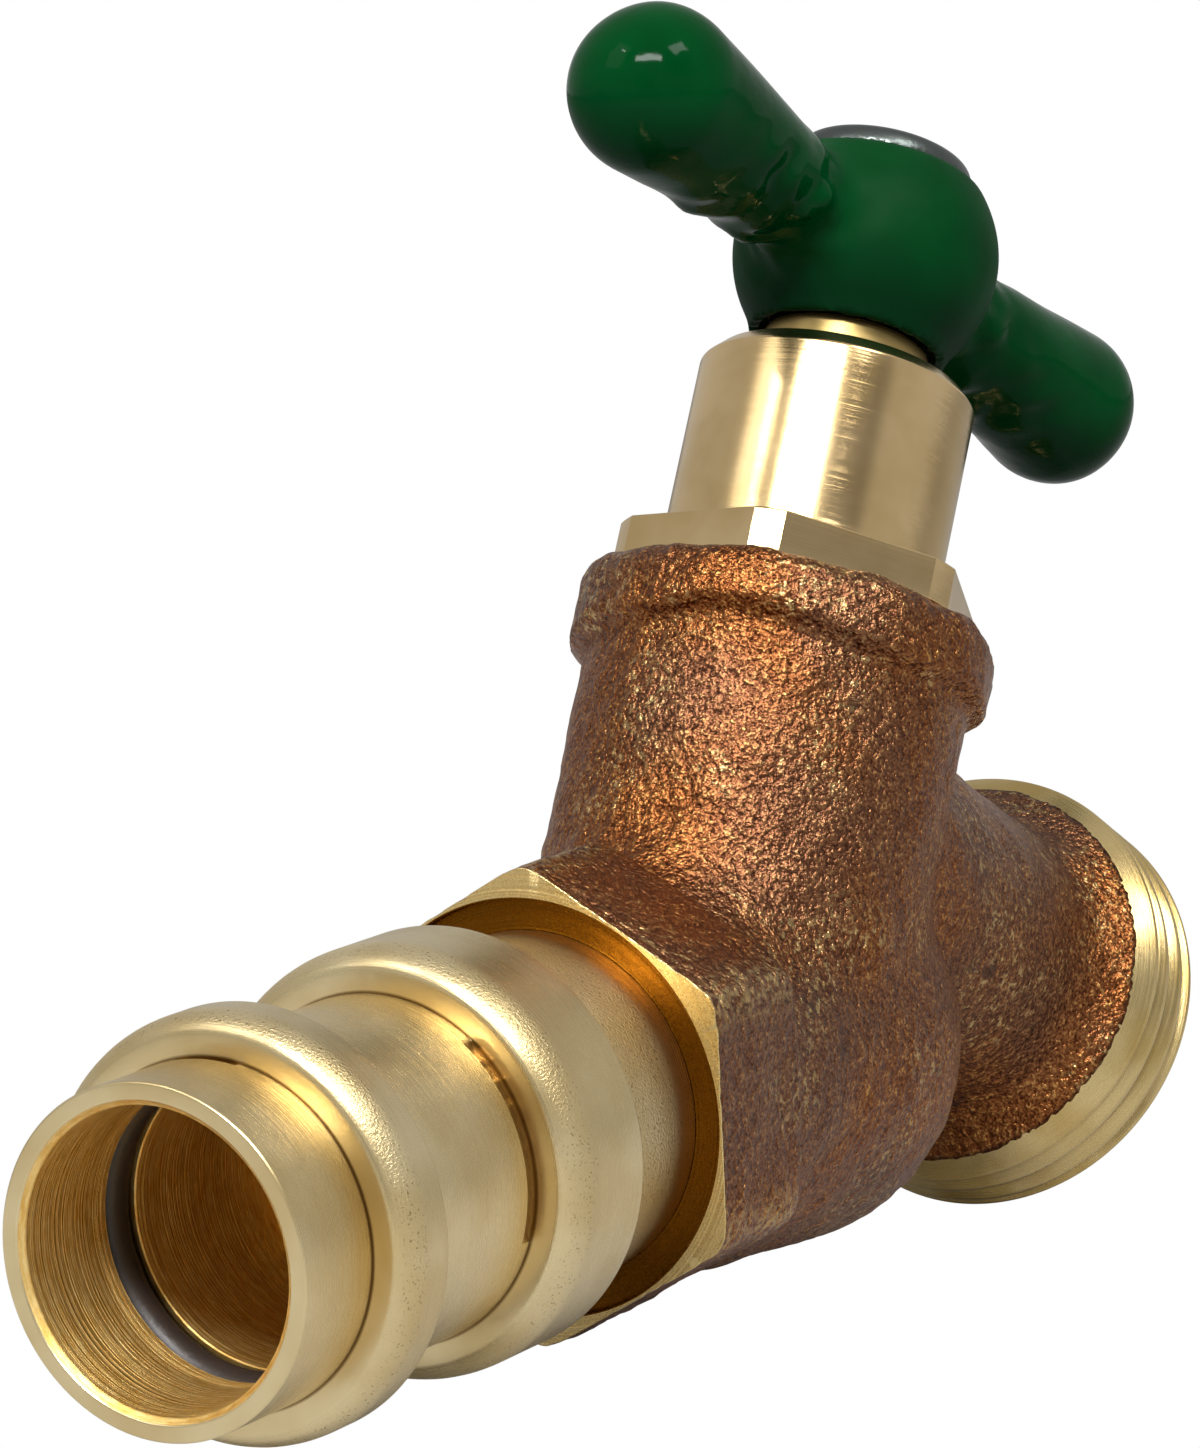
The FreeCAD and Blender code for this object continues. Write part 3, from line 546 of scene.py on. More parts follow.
outline = np.array([
    (RECESS_R, RIM_BACK + 0.02), (RECESS_R, HEX_FACE + 0.04), (RECESS_R + 0.03, HEX_FACE),
    (RIM_R - 0.04, HEX_FACE), (RIM_R - 0.01, HEX_FACE + 0.03), (RIM_R, HEX_FACE + 0.09),
    (RIM_R, HEX_FACE + 0.3), (RIM_R, RIM_BACK + 0.02)])
rim = piece("hexagon_rim", *turned(outline, inlet, rim_angles, rim_rule),
            "valve", "cast_bronze", 40)
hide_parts("valve_body")
rim.data.materials.append(bronze)

# The machined end of the outlet: one end of the casting, turned to a bevel, a hose thread and a flat
# face with a coned mouth. Bright yellow metal with the marks of the tool, darker towards the thread's
# root.
ROUND = np.radians(np.arange(0, 360, 1.5))
THREAD_ROOT = 12.2
HOSE_R = 13.49
HOSE_PITCH = 25.4 / 11.5
THREAD_START = 31.6
CHAMFER_START = 36.4
END_FACE = 36.94
outline = eased([
    (WATER_R, 29.67, 0), (12.1, 29.67, 0), (HOSE_R, 30.85, 0.12), (HOSE_R, 31.15, 0.12),
    (THREAD_ROOT, 31.9, 0.1), (THREAD_ROOT, 35.55, 0.1), (HOSE_R, 36.25, 0.1), (HOSE_R, 36.45, 0.05),
    (HOSE_R - 0.5, END_FACE + 0.01, 0.15), (9.0, END_FACE + 0.01, 0.15), (WATER_R, 31.95, 0.4)])
hose_end = piece("hose_end", *turned(spaced(outline, 0.8), outlet, ROUND), "valve", "cast_bronze", 35)
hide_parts("valve_body")

hose_bronze, node, shader, mm = material("machined bronze", Metallic=1.0)
marks = tool_marks(node, mm, outlet, 0.09)
colour = node("ValToRGB", node("TexNoise", mm, 1 / 5.0, 3),
              stops=((0.35, "#c9ab69"), (0.65, "#e0c68c")))
# The colour is darker towards the thread's root.
root = node("MapRange", radius_about(node, mm, outlet), 12.3, 13.1, 1, 0, **SMOOTH)
past_bevel = node("MapRange", along(node, mm, outlet), 31.2, 31.6, 0, 0.75, **SMOOTH)
root = node("Math", root, past_bevel, operation="MULTIPLY")
feed(shader, Base_Color=node("Mix", root, colour, "#7d5f2a", data_type="RGBA"),
     Roughness=node("Math", marks, 0.2, 0.16, operation="MULTIPLY_ADD"),
     Normal=node("Bump", Height=marks, Distance=0.012 * MM))
hose_end.data.materials.append(hose_bronze)

# The thread itself: one ridge cut along a helix, which fades out at its start and runs out at the end
# face. It is wound as geometry and belongs to the same casting.
RIDGE = {"Turns": 2.85, "Pitch": HOSE_PITCH, "Root Radius": THREAD_ROOT,
         "Height": HOSE_R - THREAD_ROOT, "Crest": 0.42, "Foot": 1.85, "Edge": 0.09}
tree = bpy.data.node_groups.new("hose thread", "GeometryNodeTree")
tree.interface.new_socket("Ridge", in_out="OUTPUT", socket_type="NodeSocketGeometry")
tree.interface.new_socket("Blank", in_out="INPUT", socket_type="NodeSocketGeometry")
for label in RIDGE:
    tree.interface.new_socket(label, in_out="INPUT", socket_type="NodeSocketFloat")
tree.interface.new_socket("Finish", in_out="INPUT", socket_type="NodeSocketMaterial")
wind = partial(add, tree)
sizes = tree.nodes.new("NodeGroupInput").outputs
rise = wind("Math", sizes["Turns"], sizes["Pitch"], operation="MULTIPLY")
helix = wind("GeometryNodeCurveSpiral", Resolution=160, Rotations=sizes["Turns"], Height=rise,
             Start_Radius=sizes["Root Radius"], End_Radius=sizes["Root Radius"], Reverse=True)
fade = wind("MapRange", wind("GeometryNodeSplineParameter"), 0.0, 0.06)
upright = wind("GeometryNodeSetCurveNormal", helix, mode="Z_UP")
faded = wind("GeometryNodeSetCurveRadius", upright, Radius=fade)
shape = wind("GeometryNodeCurvePrimitiveQuadrilateral", Height=sizes["Height"],
             Bottom_Width=sizes["Foot"], Top_Width=sizes["Crest"], Offset=0.0, mode="TRAPEZOID")
eased_shape = wind("GeometryNodeFilletCurve", shape, sizes["Edge"])
outward = wind("CombineXYZ", wind("Math", sizes["Height"], 0.5, operation="MULTIPLY"))
laid = wind("GeometryNodeTransform", eased_shape, Translation=outward, Rotation=(0, 0, -math.pi / 2))
swept = wind("GeometryNodeCurveToMesh", faded, laid, Fill_Caps=True)
real = wind("GeometryNodeRealizeInstances", swept)
wind("NodeGroupOutput", wind("GeometryNodeSetMaterial", real, Material=sizes["Finish"]))


def grown(name, tree, values, finish):
    """Runs a geometry tree and returns its result as a plain mesh, in the tree's own millimetres."""
    blank = bpy.data.objects.new(name + "_blank", bpy.data.meshes.new(name))
    bpy.context.scene.collection.objects.link(blank)
    runner = blank.modifiers.new(name, "NODES")
    runner.node_group = tree
    for item in tree.interface.items_tree:
        if item.in_out == "INPUT" and item.name in values:
            runner[item.identifier] = float(values[item.name])
        if item.in_out == "INPUT" and item.name == "Finish":
            runner[item.identifier] = finish
    bpy.context.view_layer.update()
    mesh = bpy.data.meshes.new_from_object(blank.evaluated_get(bpy.context.evaluated_depsgraph_get()))
    bpy.data.objects.remove(blank)
    return mesh


def seat(mesh, line, station, turn=0.0):
    """Lays a mesh made about its own Z axis, in millimetres, on a line of the tap."""
    origin, direction, up = line
    across = np.cross(up, direction)
    spot = origin + station * direction
    lay = Matrix([[across[i], up[i], direction[i], spot[i]] for i in range(3)] + [[0, 0, 0, 1]])
    mesh.transform(Matrix.Scale(MM, 4) @ lay @ Matrix.Rotation(math.radians(turn), 4, "Z"))


mesh = grown("hose_thread", tree, RIDGE, hose_bronze)
for v in mesh.vertices:
    r = math.hypot(v.co.x, v.co.y)
    allowed = HOSE_R - max(v.co.z - (CHAMFER_START - THREAD_START), 0)
    if r > allowed:
        v.co.x *= allowed / r
        v.co.y *= allowed / r
trimmed = bmesh.new()
trimmed.from_mesh(mesh)
everything = trimmed.verts[:] + trimmed.edges[:] + trimmed.faces[:]
found = bmesh.ops.bisect_plane(trimmed, geom=everything, plane_co=(0, 0, END_FACE - THREAD_START),
                               plane_no=(0, 0, 1), clear_outer=True)
cut_edges = [e for e in found["geom_cut"] if isinstance(e, bmesh.types.BMEdge)]
bmesh.ops.holes_fill(trimmed, edges=cut_edges)
trimmed.to_mesh(mesh)
trimmed.free()
seat(mesh, outlet, THREAD_START, 1)
hose_thread = placed("hose_thread", mesh, "valve", "cast_bronze", 35)
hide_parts("valve_body")

# The press adapter: a turned brass sleeve with a lip, a bead over the seal, the plain length that the
# jaws squeeze, and a second bead. It is screwed into the casting. The forming tool left two gouges.
SOCKET_R = 8.0
LIP_R = 9.28
CRIMP_R = 9.58
SLEEVE_NECK_R = 9.98
GROOVE_R = 10.05
BEAD_ONE_R = 11.45
BEAD_TWO_R = 11.92
TAIL_R = 9.0
TAIL_BORE_R = 6.6
BEAD_ONE = (6.0, 9.95)
BEAD_TWO = (21.3, 28.8)
GROOVE = (7.3, 9.9)
TUBE_STOP = 22.0
TAIL_END = 46.3
NECK_END = RIM_BACK - 0.02
GOUGE_DEPTH = 0.24
GOUGES = ((20.5, BEAD_TWO[0], CRIMP_R, 129, 199), (5.6, BEAD_ONE[0], LIP_R, 77, 101))


def gouged(r, s, turn):
    """Cuts the gouges, each between two stations and two angles in degrees, with a torn depth."""
    degrees = np.degrees(turn)
    torn = 1 + 0.25 * np.sin(turn * 23) * np.sin(turn * 61 + 1)
    for low, high, _, first, last in GOUGES:
        inside = ramp(degrees, first - 1, first + 3) * ramp(-degrees, -last - 1, -last + 3)
        r = r - GOUGE_DEPTH * inside * torn * ((s > low - 0.01) & (s < high - 0.01))
    return r


outline = eased([
    (SOCKET_R, 0.38, 0.06), (SOCKET_R + 0.38, 0, 0.07), (LIP_R, 0, 0.16), (LIP_R, 5.54, 0),
    (LIP_R, 5.6, 0), (LIP_R, 5.98, 0), (LIP_R, BEAD_ONE[0], 0), (BEAD_ONE_R, BEAD_ONE[0], 2.1),
    (BEAD_ONE_R, 9.8, 0.22), (CRIMP_R, BEAD_ONE[1], 0.1), (CRIMP_R, 20.42, 0), (CRIMP_R, 20.5, 0),
    (CRIMP_R, 21.27, 0), (CRIMP_R, BEAD_TWO[0], 0), (BEAD_TWO_R, BEAD_TWO[0], 2.28),
    (BEAD_TWO_R, 28.6, 0.25), (SLEEVE_NECK_R, BEAD_TWO[1], 0.15), (SLEEVE_NECK_R, NECK_END, 0),
    (TAIL_R, NECK_END, 0), (TAIL_R, TAIL_END, 0.3), (TAIL_BORE_R, TAIL_END, 0.2),
    (TAIL_BORE_R, TUBE_STOP, 0.15), (SOCKET_R, TUBE_STOP, 0.1), (SOCKET_R, GROOVE[1], 0.1),
    (GROOVE_R, GROOVE[1], 0.1), (GROOVE_R, GROOVE[0], 0.1), (SOCKET_R, GROOVE[0], 0.1)], 8)
adapter = piece("press_sleeve", *turned(spaced(outline, 0.9), inlet, ROUND, gouged),
                "valve", "press_brass", 32)
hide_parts("press_adapter")

# Turned brass: pale gold with fine marks round it, duller and pitted where the beads were formed and on
# the neck. Painted shade makes dark lines at the feet of the beads, painted shade and reflection make
# the gouges brown, and the bored mouth is a deeper gold, lightened there as painted light.
sleeve_brass, node, shader, mm = material("turned brass, press sleeve", Metallic=1.0)
place = along(node, mm, inlet)
from_axis = radius_about(node, mm, inlet)
inside = node("Math", from_axis, SOCKET_R + 0.3, operation="LESS_THAN")
marks = tool_marks(node, mm, inlet, 0.07)
pits = node("TexNoise", mm, 1 / 0.16, 2, 0.5)
stretched = node("VectorMath", mm, (1, 3.5, 1), operation="MULTIPLY")
DULLED = (((6.0, 6.6), (7.4, 8.4)), ((21.4, 22.0), (23.2, 24.2)), ((28.9, 29.6), (35.4, 36.6)))
dull = 0.0
for rise, fall in DULLED:
    here = node("Math", node("MapRange", place, *rise, **SMOOTH),
                node("MapRange", place, *fall, 1, 0, **SMOOTH), operation="MULTIPLY")
    dull = node("Math", here, dull, operation="MAXIMUM")
speckle = node("Math", node("MapRange", pits, 0.6, 0.72, 0, 0.75, **SMOOTH), dull,
               operation="MULTIPLY")
colour = node("ValToRGB", node("TexNoise", mm, 1 / 7.0, 3),
              stops=((0.35, "#d8c08c"), (0.65, "#e8d4a6")))
colour = node("Mix", speckle, colour, "#7a5a2a", data_type="RGBA")
height = node("SeparateXYZ", mm, out="Z")
angle = node("Math", height, height.node.outputs["X"], operation="ARCTAN2")
angle = node("Math", node("Math", angle, operation="DEGREES"), 360.0, operation="ADD")
angle = node("Math", angle, 360.0, operation="MODULO")
# Painted shade and painted reflection: the floors of the gouges are coloured brown.
cut = 0.0
for low, _, surface_r, first, last in GOUGES:
    here = node("MapRange", place, low - 0.06, low + 0.02, 0, 0.7, **SMOOTH)
    for test in (node("Math", from_axis, surface_r + 0.04, operation="LESS_THAN"),
                 node("Math", angle, first, operation="GREATER_THAN"),
                 node("Math", angle, last, operation="LESS_THAN")):
        here = node("Math", here, test, operation="MULTIPLY")
    cut = node("Math", here, cut, operation="MAXIMUM")
colour = node("Mix", cut, colour, "#9a7434", data_type="RGBA")
# Painted shade: dark lines in the creases at the feet of the beads.
crease_shade = 0.0
for foot_r, foot in ((LIP_R, BEAD_ONE[0]), (CRIMP_R, BEAD_ONE[1]), (CRIMP_R, BEAD_TWO[0]),
                     (SLEEVE_NECK_R, BEAD_TWO[1])):
    above = node("Math", node("Math", from_axis, foot_r, operation="SUBTRACT"), operation="ABSOLUTE")
    beside = node("Math", node("Math", place, foot, operation="SUBTRACT"), operation="ABSOLUTE")
    here = node("MapRange", node("Math", above, beside, operation="ADD"), 0.05, 0.2, 0.75, 0, **SMOOTH)
    crease_shade = node("Math", here, crease_shade, operation="MAXIMUM")
colour = node("Mix", crease_shade, colour, "#6b4a14", data_type="RGBA")
# A deeper gold in the bore, made lighter as painted light where little lamp light reaches.
bore_gold_and_painted_light = node("ValToRGB", node("TexNoise", stretched, 1 / 1.2, 4, 0.7),
                   stops=((0.3, "#e2b55e"), (0.7, "#f8da92")))
rough = node("Math", marks, 0.16, 0.2, operation="MULTIPLY_ADD")
rough = node("Math", dull, 0.1, rough, operation="MULTIPLY_ADD")
pitted = node("Math", pits, dull, operation="MULTIPLY")
bore_marks = node("Math", tool_marks(node, mm, inlet, 0.2), inside, operation="MULTIPLY")
scuffs = node("TexNoise", stretched, 1 / 0.5, 3, 0.6)
relief = {}
for height, depth in ((marks, 0.010), (tool_marks(node, mm, inlet, 0.6), 0.012), (pitted, 0.05),
                      (bore_marks, 0.08), (scuffs, 0.012)):
    relief = {"Normal": node("Bump", Height=height, Distance=depth * MM, **relief)}
feed(shader, Base_Color=node("Mix", inside, colour, bore_gold_and_painted_light, data_type="RGBA"),
     Roughness=node("Math", inside, 0.2, rough, operation="MULTIPLY_ADD"), **relief)
adapter.data.materials.append(sleeve_brass)


# The seal in the first bead: a moulded rubber ring that stands a little proud of the bore. Black, with
# a soft shine.
def plain(name, size, depth, detail=2, **constants):
    """A material of one colour, with a faint even relief of a given size and depth."""
    made, node, shader, mm = material(name, **constants)
    blotches = node("TexNoise", mm, 1 / size, detail)
    feed(shader, Normal=node("Bump", Height=blotches, Distance=depth * MM))
    return made


SEAL_MIDDLE = (8.91, 8.6)
SEAL_SECTION = 1.12
turns = np.linspace(0, 2 * math.pi, 24, endpoint=False)
outline = np.array(SEAL_MIDDLE) + SEAL_SECTION * np.stack((np.cos(turns), np.sin(turns)), axis=1)
press_seal = piece("press_seal", *turned(outline, inlet, ROUND), "valve", "seal_rubber")
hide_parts("press_seal_ring")
rubber = plain("black rubber, moulded", 0.3, 0.02, Base_Color="#332b27", Roughness=0.42)
press_seal.data.materials.append(rubber)

# The headwork: turned from hexagon brass. Flats with turned corners bear on the collar, a plain
# cylinder rises above them, and below it goes into the neck with a screwed shank.
FLAT = 10.225
CORNER = 11.3
FLAT_TURN = 18
SHANK_R = 8.95
TOWER_R = 8.5
TOWER_TOP = 42.2
COLLAR_SEAT = NECK_TOP + 0.02
edge = math.degrees(math.acos(FLAT / CORNER))
angles = []
for k in range(6):
    middle = FLAT_TURN + 60 * k
    angles += list(middle + np.linspace(-edge, edge, 25))
    angles += list(middle + edge + np.array((0.25, 0.5, 0.75)) * (60 - 2 * edge))
angles = np.radians(np.sort(np.mod(angles, 360)))


def flats(r, s, turn):
    """Brings the rows of the hexagon in to its flats."""
    beside = np.mod(np.degrees(turn) - FLAT_TURN + 30, 60) - 30
    reach = np.minimum(FLAT / np.cos(np.radians(beside)), CORNER) / CORNER
    return np.where(r > 9.2, r * reach, r)


outline = eased([
    (6.9, 20.5, 0), (SHANK_R, 20.5, 0.1), (SHANK_R, 25.3, 0.1), (TOWER_R, 25.3, 0),
    (TOWER_R, COLLAR_SEAT, 0), (CORNER, COLLAR_SEAT, 0.1), (CORNER, 29.45, 0.12),
    (TOWER_R, 29.45, 0.3), (TOWER_R, 41.27, 0.12), (7.57, TOWER_TOP, 0.12),
    (5.14, TOWER_TOP, 0.06), (5.14, 39.2, 0), (4.05, 39.2, 0), (4.05, 21.0, 0), (6.9, 21.0, 0)])
headwork = piece("headwork", *turned(spaced(outline, 1.2), stem, angles, flats),
                 "valve", "headwork_brass", 20)
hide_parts("bonnet")

# Turned brass: a brighter, smoother finish than the sleeve's, with faint marks round it.
headwork_brass, node, shader, mm = material("turned brass, headwork", Metallic=1.0)
marks = tool_marks(node, mm, stem, 0.06)
fine = node("Bump", Height=marks, Distance=0.004 * MM)
feed(shader, Base_Color=node("ValToRGB", node("TexNoise", mm, 1 / 6.0, 3),
                             stops=((0.35, "#d9ba83"), (0.65, "#e9cb97"))),
     Roughness=node("Math", marks, 0.12, 0.12, operation="MULTIPLY_ADD"),
     Normal=node("Bump", Height=tool_marks(node, mm, stem, 0.5), Distance=0.008 * MM, Normal=fine))
headwork.data.materials.append(headwork_brass)


# The cage: the thin lower end of the headwork, which holds the ceramic discs. It has a window on each
# side for the water, and a slot at each end of the discs' keys.
def sleeve(line, inner, outer, stations, angles, keep):
    """A tube made of cells, with openings where a cell isn't kept."""
    origin, direction, up = line
    points, index, faces = [], {}, []

    def corner(i, j, k):
        j %= len(angles)
        if (i, j, k) not in index:
            index[i, j, k] = len(points)
            side = math.cos(angles[j]) * np.array((1.0, 0, 0)) + math.sin(angles[j]) * up
            points.append(origin + stations[i] * direction + (outer if k else inner) * side)
        return index[i, j, k]

    def kept(i, j):
        if not 0 <= i < len(stations) - 1:
            return False
        j %= len(angles)
        turn = angles[j] + (angles[(j + 1) % len(angles)] - angles[j]) % (2 * math.pi) / 2
        return keep((stations[i] + stations[i + 1]) / 2, turn)

    def face(*corners):
        faces.append([corner(*c) for c in corners])

    for i in range(len(stations) - 1):
        for j in range(len(angles)):
            if not kept(i, j):
                continue
            face((i, j, 1), (i, j + 1, 1), (i + 1, j + 1, 1), (i + 1, j, 1))
            face((i, j, 0), (i + 1, j, 0), (i + 1, j + 1, 0), (i, j + 1, 0))
            if not kept(i - 1, j):
                face((i, j, 0), (i, j + 1, 0), (i, j + 1, 1), (i, j, 1))
            if not kept(i + 1, j):
                face((i + 1, j, 1), (i + 1, j + 1, 1), (i + 1, j + 1, 0), (i + 1, j, 0))
            if not kept(i, j - 1):
                face((i, j, 1), (i + 1, j, 1), (i + 1, j, 0), (i, j, 0))
            if not kept(i, j + 1):
                face((i, j + 1, 0), (i + 1, j + 1, 0), (i + 1, j + 1, 1), (i, j + 1, 1))
    return np.array(points), np.array(faces)


CAGE_R = (6.9, 8.1)
CAGE_STATIONS = [5.4, 7.5, 9.6, 11.2, 12.8, 15.3, 17.8, 19.2, 20.5]
WINDOW = 36.9
WINDOW_STATIONS = (12.8, 17.8)
KEY = 10.0
KEY_TOP = 9.6
cage_angles = {*range(0, 360, 5), 90 - WINDOW, 90 + WINDOW, 270 - WINDOW, 270 + WINDOW}
cage_angles |= {KEY, 360 - KEY}


def solid_cage(t, turn):
    """Whether the cage has metal at a station and an angle."""
    degrees = math.degrees(turn) % 360
    to_side = min(abs(degrees - 90), abs(degrees - 270))
    to_key = min(degrees, abs(degrees - 180), 360 - degrees)
    in_window = WINDOW_STATIONS[0] < t < WINDOW_STATIONS[1] and to_side < WINDOW
    return not in_window and not (t < KEY_TOP and to_key < KEY)


cage = piece("disc_cage", *sleeve(stem, *CAGE_R, CAGE_STATIONS, np.radians(sorted(cage_angles)),
                                  solid_cage), "valve", "headwork_brass", 30)
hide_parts("bonnet")
cage.data.materials.append(headwork_brass)

# The gland bush: a small brass ring pressed into the top of the headwork, round the stem. It is rougher
# than the headwork, and its darker, more olive colour is painted shade from the handle above.
BUSH_R = (4.06, 5.07)
BUSH_STATIONS = (39.22, 44.4)
outline = eased([(BUSH_R[0], BUSH_STATIONS[0], 0), (BUSH_R[1], BUSH_STATIONS[0], 0),
                 (BUSH_R[1], BUSH_STATIONS[1], 0.35), (BUSH_R[0], BUSH_STATIONS[1], 0.2)], 6)
bush = piece("gland_ring", *turned(spaced(outline, 1.0), stem, ROUND), "valve", "headwork_brass", 35)
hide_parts("gland_bush")
# Painted shade: the darker, olive base colour stands for the handle's shadow.
bush_brass_in_painted_shade, node, shader, mm = material("turned brass, dulled, in painted shade", Metallic=1.0, Base_Color="#b39a62",
                                        Roughness=0.4)
feed(shader, Normal=node("Bump", Height=tool_marks(node, mm, stem, 0.08), Distance=0.006 * MM))
bush.data.materials.append(bush_brass_in_painted_shade)

# Inside the headwork, where nothing of it shows: the turned stem, the lapped ceramic discs, the rubber
# seals, plastic rings and the sprung steel clip; and inside the vinyl, the die-cast tee.
stem_brass, node, shader, mm = material("turned brass, stem", Metallic=1.0, Base_Color="#d2b885",
                                        Roughness=0.28)
feed(shader, Normal=node("Bump", Height=tool_marks(node, mm, stem, 0.1), Distance=0.01 * MM))
ceramic = plain("alumina ceramic, lapped", 0.4, 0.004, Base_Color="#e9e4da", Roughness=0.18)
plastic = plain("white bearing plastic", 0.5, 0.01, Base_Color="#e6e4de", Roughness=0.4)
steel = plain("stainless steel, cold headed", 0.35, 0.02, 3, Metallic=1.0, Base_Color="#5e6461",
              Roughness=0.34)
zinc = plain("zinc alloy, die cast", 0.6, 0.02, Metallic=1.0, Base_Color="#a3a5a8", Roughness=0.42)
for name, finish in (("stem", stem_brass), ("fixed_disc", ceramic), ("moving_disc", ceramic),
                     ("seat_seal", rubber), ("bonnet_seal_ring", rubber), ("stem_seal_rings", rubber),
                     ("seal_support_ring", plastic), ("thrust_washer", plastic), ("stem_clip", steel),
                     ("handle_core", zinc)):
    slots = nodes[name].data.materials
    slots.clear()
    slots.append(finish)

# The handle: a metal tee dipped in thick green vinyl, which wrinkles and hangs in drips where the arms
# meet the hub. It is hollow only for the core, the square of the stem and the screw.
HUB_MIDDLE = 50.2
HUB_R = 8.15
HUB_LOW = 44.15
HUB_TOP = 55.5
SKIRT_R = 6.0
BALL_R = 5.15
COAT = 1.0
CORE_LOW = 45.7
CORE_TOP = 54.5
SKIRT_BORE_R = 5.5
SCREW_HOLE_R = 2.1
ARM_HEIGHT = 50.3
ARM_TURN = math.radians(83.8)
ARM_REACH = 23.4
TAPER = math.radians(6.3)


def in_stem_frame(p):
    """Across, up and station on the stem's line."""
    origin, direction, up = stem
    rel = p - origin
    return rel[:, 0], rel @ up, rel @ direction


def tee(x, y, t, hub_r, ball_r, weld_size):
    """A ball-shaped hub with two tapered arms that end in balls, and the place along an arm."""
    hub = np.sqrt(x * x + y * y + (t - HUB_MIDDLE) ** 2) - hub_r
    u = np.abs(x * math.cos(ARM_TURN) + y * math.sin(ARM_TURN))
    v = np.hypot(-x * math.sin(ARM_TURN) + y * math.cos(ARM_TURN), t - ARM_HEIGHT)
    touch_r = ball_r * math.cos(TAPER)
    touch = ARM_REACH - ball_r * math.sin(TAPER)
    cone = (v - touch_r + (touch - u) * math.tan(TAPER)) * math.cos(TAPER)
    past = (u - touch) - (v - touch_r) * math.tan(TAPER) > 0
    arm = np.where(past, np.hypot(u - ARM_REACH, v) - ball_r, cone)
    h = np.clip(1 - np.abs(hub - arm) / weld_size, 0, 1)
    return np.minimum(hub, arm) - h * h * weld_size / 4, u


def coating_form(p):
    """The vinyl, with folds at the roots of the arms and drips on their undersides."""
    x, y, t = in_stem_frame(p)
    q = np.hypot(x, y)
    outer, u = tee(x, y, t, HUB_R, BALL_R, 1.8)
    skirt = np.maximum(np.maximum(q - SKIRT_R, HUB_LOW - t), t - 49)
    h = np.clip(1 - np.abs(outer - skirt) / 0.8, 0, 1)
    outer = np.where(t < 50, np.minimum(outer, skirt) - h * h * 0.2, outer)
    close = np.abs(outer) < 1.0
    s = p[close]
    root = np.exp(-((u[close] - 9.6) / 2.6) ** 2)
    below = ramp(ARM_HEIGHT + 1.0 - t[close], -1.0, 3.0)
    folds = 0.26 * waves(s, 2.6, 21) * root * (0.35 + 0.65 * below)
    drips = 0.24 * waves(s, 3.4, 22) * np.exp(-((u[close] - 14.5) / 4.5) ** 2) * below
    outer[close] -= folds + drips + 0.035 * waves(s, 7.0, 23)
    outer = np.maximum(soft_max(outer, t - HUB_TOP, 0.5), HUB_LOW - t)
    core, _ = tee(x, y, t, HUB_R - COAT, BALL_R - COAT, 1e-3)
    core = np.maximum(np.maximum(core, CORE_LOW - t), t - CORE_TOP) - 0.03
    under = np.maximum(q - SKIRT_BORE_R, t - CORE_LOW - 0.02)
    hole = np.maximum(q - SCREW_HOLE_R, CORE_TOP - 0.5 - t)
    return np.maximum(outer, -np.minimum(np.minimum(core, under), hole))


middle = stem[0] + ARM_HEIGHT * stem[1]
reach = np.array((10.0, 28.0, 17.0))
coating = piece("green_coating", *skin(coating_form, middle - reach, middle + reach,
                                       0.36), "handle", "green_vinyl", 50)
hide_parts("handle_coating")

# Dipped vinyl: deep green with sharp glints on the smooth balls, a softer shine on the handled hub, and
# painted shade darkening it underneath.
vinyl, node, shader, mm = material("green vinyl, dipped", Specular_IOR_Level=0.05)
hub_place = tuple(stem[0] + HUB_MIDDLE * stem[1])
from_hub = node("VectorMath", mm, hub_place, operation="DISTANCE")
colour = node("ValToRGB", node("TexNoise", mm, 1 / 9.0, 3),
              stops=((0.3, "#002f10"), (0.7, "#003c18")))
# Painted shade: the colour darkens towards the underside of the hub.
below = node("MapRange", along(node, mm, stem), 44.5, 49.5, 0.6, 0, **SMOOTH)
feed(shader, Base_Color=node("Mix", below, colour, "#00140a", data_type="RGBA"),
     Roughness=node("MapRange", from_hub, 8.6, 11.0, 0.49, 0.09, **SMOOTH),
     Normal=node("Bump", Height=node("TexNoise", mm, 1 / 2.2, 2), Distance=0.05 * MM))
coating.data.materials.append(vinyl)

# The handle screw: cold-headed steel, with a low domed head and a cross recess. It clamps the tee to
# the square of the stem.
HEAD_LOW = 55.52
HEAD_TOP = 57.3
HEAD_EDGE = 2.0
HEAD_R = 5.6
DOME_R = 33.9
SHANK = (2.0, 47.0, 56.5)
CROSS_FLOOR = 56.2
CROSS_REACH = 2.4
CROSS_HALF_WIDTH = 0.6


def screw_form(p):
    """The head with its cross, and the shank, whose radius and stations are given together."""
    x, y, t = in_stem_frame(p)
    q = np.hypot(x, y)
    past_edge = np.maximum(q - HEAD_R + HEAD_EDGE, 0)
    side = np.hypot(past_edge, np.maximum(t - HEAD_LOW, 0) * 1.05) - HEAD_EDGE
    dome = np.sqrt(q * q + (t - HEAD_TOP + DOME_R) ** 2) - DOME_R
    head = np.maximum(soft_max(side, dome, 0.5), HEAD_LOW - t)
    shank = np.maximum(np.maximum(q - SHANK[0], SHANK[1] - t), t - SHANK[2])
    a, b = np.abs(x), np.abs(y)
    depth = HEAD_TOP - t
    width = CROSS_HALF_WIDTH - 0.15 * depth
    length = CROSS_REACH - 0.55 * depth
    cross = np.minimum(np.maximum(a - width, b - length), np.maximum(b - width, a - length))
    return np.maximum(np.minimum(head, shank), -np.maximum(cross, CROSS_FLOOR - t))


middle = stem[0] + 52.5 * stem[1]
reach = np.array((6.4, 8.0, 8.0))
screw = piece("domed_screw", *skin(screw_form, middle - reach, middle + reach,
                                   0.17), "handle", "stainless", 40)
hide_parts("handle_screw")
screw.data.materials.append(steel)

